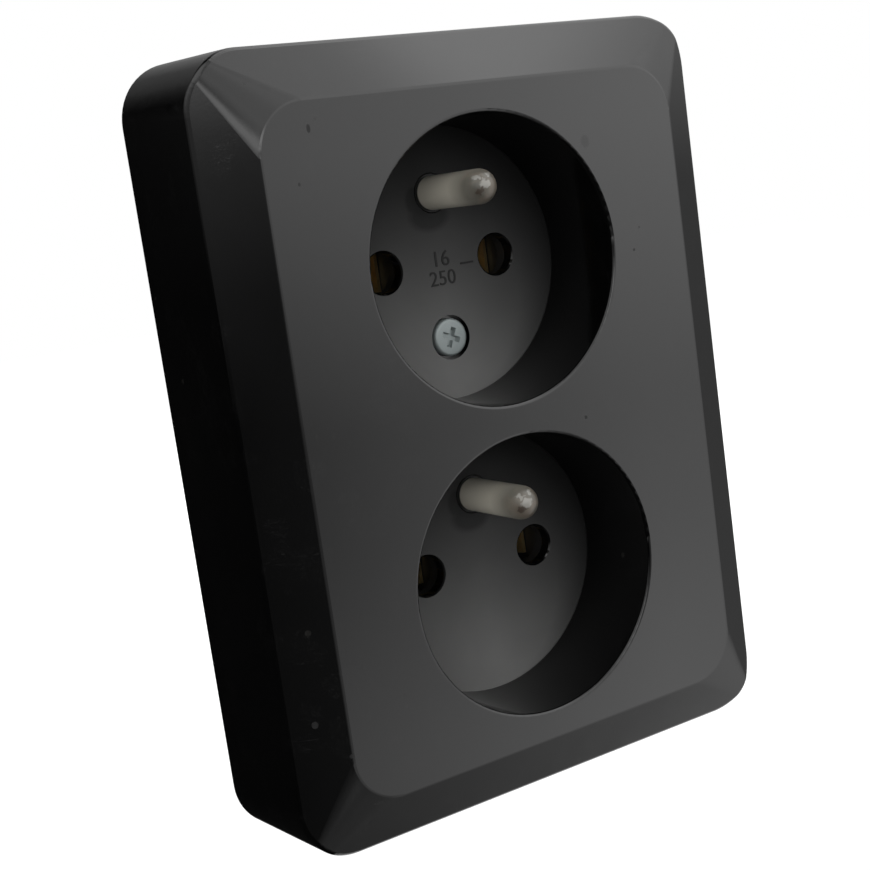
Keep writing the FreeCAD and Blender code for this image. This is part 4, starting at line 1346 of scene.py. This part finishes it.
@dataclass(frozen=True)
class Screw:
    """A screw that takes the place of a plain CAD one, with its drive and its thread cut."""

    node: str
    head: ScrewHead
    drive: Drive
    crest_mm: float
    pitch_mm: float
    head_in_front: bool
    turn_deg: float = 0.0
    drive_span_mm: float = 3.6
    drive_width_mm: float = 1.0
    drive_depth_mm: float = 0.65
    slot_depth_share: float = 0.6
    root_share: float = 0.84
    first_ring_share: float = 0.4
    dome_steps: int = 6
    under_head_mm: float = 0.02
    point_length_share: float = 0.6
    point_width_share: float = 0.55
    tip_mm: float = 0.05
    edge_break_mm: float = 0.08
    countersink_rim_mm: float = 0.1
    smooth_deg: float = 32.0

    def build(self) -> None:
        """Makes the screw in the node's place."""
        low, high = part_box(self.node)
        length = (high.y - low.y) / MM
        piece = as_object(self.turned_solid(length), f"{self.node}_detailed")
        for cutter in self.drive_cutters():
            cut(piece, cutter)
        middle = (low + high) / 2
        if self.head_in_front:
            place = Matrix.Translation((middle.x, low.y, middle.z))
        else:
            place = Matrix.Translation((middle.x, high.y, middle.z)) @ Matrix.Rotation(math.pi, 4, "Z")
        piece.data.transform(place)
        smooth(piece.data, self.smooth_deg)
        SCREW_ZINC.apply(piece)
        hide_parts(self.node)
        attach(piece, BODY)
        LOG.info("%s: %d faces", piece.name, len(piece.data.polygons))

    def turned_solid(self, length_mm: float) -> bmesh.types.BMesh:
        """Turns the head, the thread and the point, with the head's top at y = 0.

        Args:
            length_mm: the screw's length over all.

        Returns:
            The solid.
        """
        head = self.head
        root = self.crest_mm * self.root_share
        lathe = Lathe()
        lathe.ring(0.0, head.radius_mm * self.first_ring_share)
        if head.countersunk:
            lathe.ring(0.0, head.radius_mm - self.countersink_rim_mm)
            lathe.ring(self.countersink_rim_mm, head.radius_mm)
            lathe.ring(head.height_mm, self.crest_mm)
        else:
            flat_mm = head.radius_mm - head.edge_round_mm
            lathe.dome(head.edge_round_mm, flat_mm, head.radius_mm, self.dome_steps)
            lathe.ring(head.height_mm - self.edge_break_mm, head.radius_mm)
            lathe.ring(head.height_mm, head.radius_mm - self.edge_break_mm)
            lathe.ring(head.height_mm, root)
        point = length_mm - self.crest_mm
        start = head.height_mm + self.under_head_mm
        thread = Thread(start, point, root, self.crest_mm, self.pitch_mm)
        for y_mm, radius_mm in thread.profile():
            lathe.ring(y_mm, radius_mm)
        lathe.ring(point + self.crest_mm * self.point_length_share, root * self.point_width_share)
        lathe.ring(length_mm, self.tip_mm)
        return lathe.turned(thread)

    def drive_cutters(self) -> list[bpy.types.Object]:
        """Makes the bars that cut the drive, one for each slot.

        Returns:
            The bars.
        """
        width = self.drive_width_mm
        cutters = []
        for turn in (self.turn_deg, self.turn_deg + 90.0):
            cutters.append(wedge_bar(self.drive_span_mm, width, self.drive_depth_mm, turn))
        if self.drive is Drive.CROSS_AND_SLOT:
            depth = self.slot_depth_share * self.drive_depth_mm
            cutters.append(wedge_bar(3 * self.head.radius_mm, width, depth, self.turn_deg))
        return cutters


def smooth(mesh: bpy.types.Mesh, crease_deg: float) -> None:
    """Shades the mesh smooth, with sharp edges where it turns more than the angle."""
    mesh.polygons.foreach_set("use_smooth", [True] * len(mesh.polygons))
    mesh.set_sharp_from_angle(angle=math.radians(crease_deg))


COVER_HEAD = ScrewHead(2.72, 1.3, 0.40)
CAP_HEAD = ScrewHead(2.6, 1.5, 0.0, countersunk=True)
TERMINAL_HEAD = ScrewHead(3.1, 2.0, 0.5)

SCREWS = (
    Screw("cover_screw", COVER_HEAD, Drive.CROSS, 1.45, 0.7, True, turn_deg=24.0),
    Screw("upper_cap_screw", CAP_HEAD, Drive.CROSS, 1.3, 0.9, False, turn_deg=12.0),
    Screw("lower_cap_screw", CAP_HEAD, Drive.CROSS, 1.3, 0.9, False, turn_deg=-31.0),
    Screw("live_terminal_screw", TERMINAL_HEAD, Drive.CROSS_AND_SLOT, 1.7, 0.7, False, turn_deg=8.0),
    Screw("neutral_terminal_screw", TERMINAL_HEAD, Drive.CROSS_AND_SLOT, 1.7, 0.7, False, turn_deg=-20.0),
    Screw("earth_terminal_screw", TERMINAL_HEAD, Drive.CROSS_AND_SLOT, 1.7, 0.7, False, turn_deg=41.0),
)


CAP_SHARE = 0.70
MARK_SMOOTH_DEG = 30.0


@dataclass(frozen=True)
class FloorMark:
    """A raised number moulded on the upper well's floor."""

    name: str
    text: str
    height_mm: float
    base_z_mm: float
    relief_mm: float = 0.10
    curve_steps: int = 3

    def build(self) -> None:
        """Makes the number stand out of the floor."""
        curve = bpy.data.curves.new(self.name, "FONT")
        curve.body = self.text
        curve.align_x = "CENTER"
        curve.size = self.height_mm * MM / CAP_SHARE
        curve.extrude = self.relief_mm * MM
        curve.resolution_u = self.curve_steps
        source = in_scene(self.name, curve)
        mesh = as_mesh(source)
        bpy.data.objects.remove(source)
        mesh.transform(Matrix.Rotation(math.pi / 2, 4, "X"))
        mesh.transform(Matrix.Translation((0.0, WELL_FLOOR, self.base_z_mm * MM)))
        mesh.name = self.name
        finish_mark(in_scene(self.name, mesh))


@dataclass(frozen=True)
class FloorDash:
    """A raised dash beside the numbers."""

    name: str
    middle_x_mm: float
    middle_z_mm: float
    length_mm: float
    width_mm: float = 0.28
    relief_mm: float = 0.10
    edge_round_mm: float = 0.04

    def build(self) -> None:
        """Makes the dash with softened edges."""
        shape = bmesh.new()
        bmesh.ops.create_cube(shape, size=1.0)
        size = Vector((self.length_mm, 2 * self.relief_mm, self.width_mm)) * MM
        bmesh.ops.scale(shape, verts=shape.verts, vec=size)
        bmesh.ops.bevel(
            shape,
            geom=shape.edges,
            offset=self.edge_round_mm * MM,
            segments=2,
            profile=0.5,
            affect="EDGES",
            material=-1,
        )
        middle = (self.middle_x_mm * MM, WELL_FLOOR, self.middle_z_mm * MM)
        bmesh.ops.translate(shape, verts=shape.verts, vec=middle)
        finish_mark(as_object(shape, self.name))


def finish_mark(piece: bpy.types.Object) -> None:
    """Dresses a mark and makes it ride with the cover.

    Args:
        piece: the mark.
    """
    smooth(piece.data, MARK_SMOOTH_DEG)
    MARK_BLACK.apply(piece)
    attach(piece, BODY)
    LOG.info("%s: %d faces", piece.name, len(piece.data.polygons))


MARKS = (
    FloorMark("upper_number", "16", 2.2, 21.5),
    FloorMark("lower_number", "250", 2.1, 18.8),
    FloorDash("number_dash", 4.35, 21.4, 2.2),
)


def main() -> None:
    """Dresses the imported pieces, adds the modelled ones and sets the stage."""
    logging.basicConfig(level=logging.INFO, format="%(name)s: %(message)s")
    Studio().build()
    for name, finish in NODE_FINISHES.items():
        finish.apply(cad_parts[name])
        LOG.info("%s: %s", name, finish.name)
    for piece in (*SCREWS, *MARKS):
        piece.build()


if __name__ == "__main__":
    main()
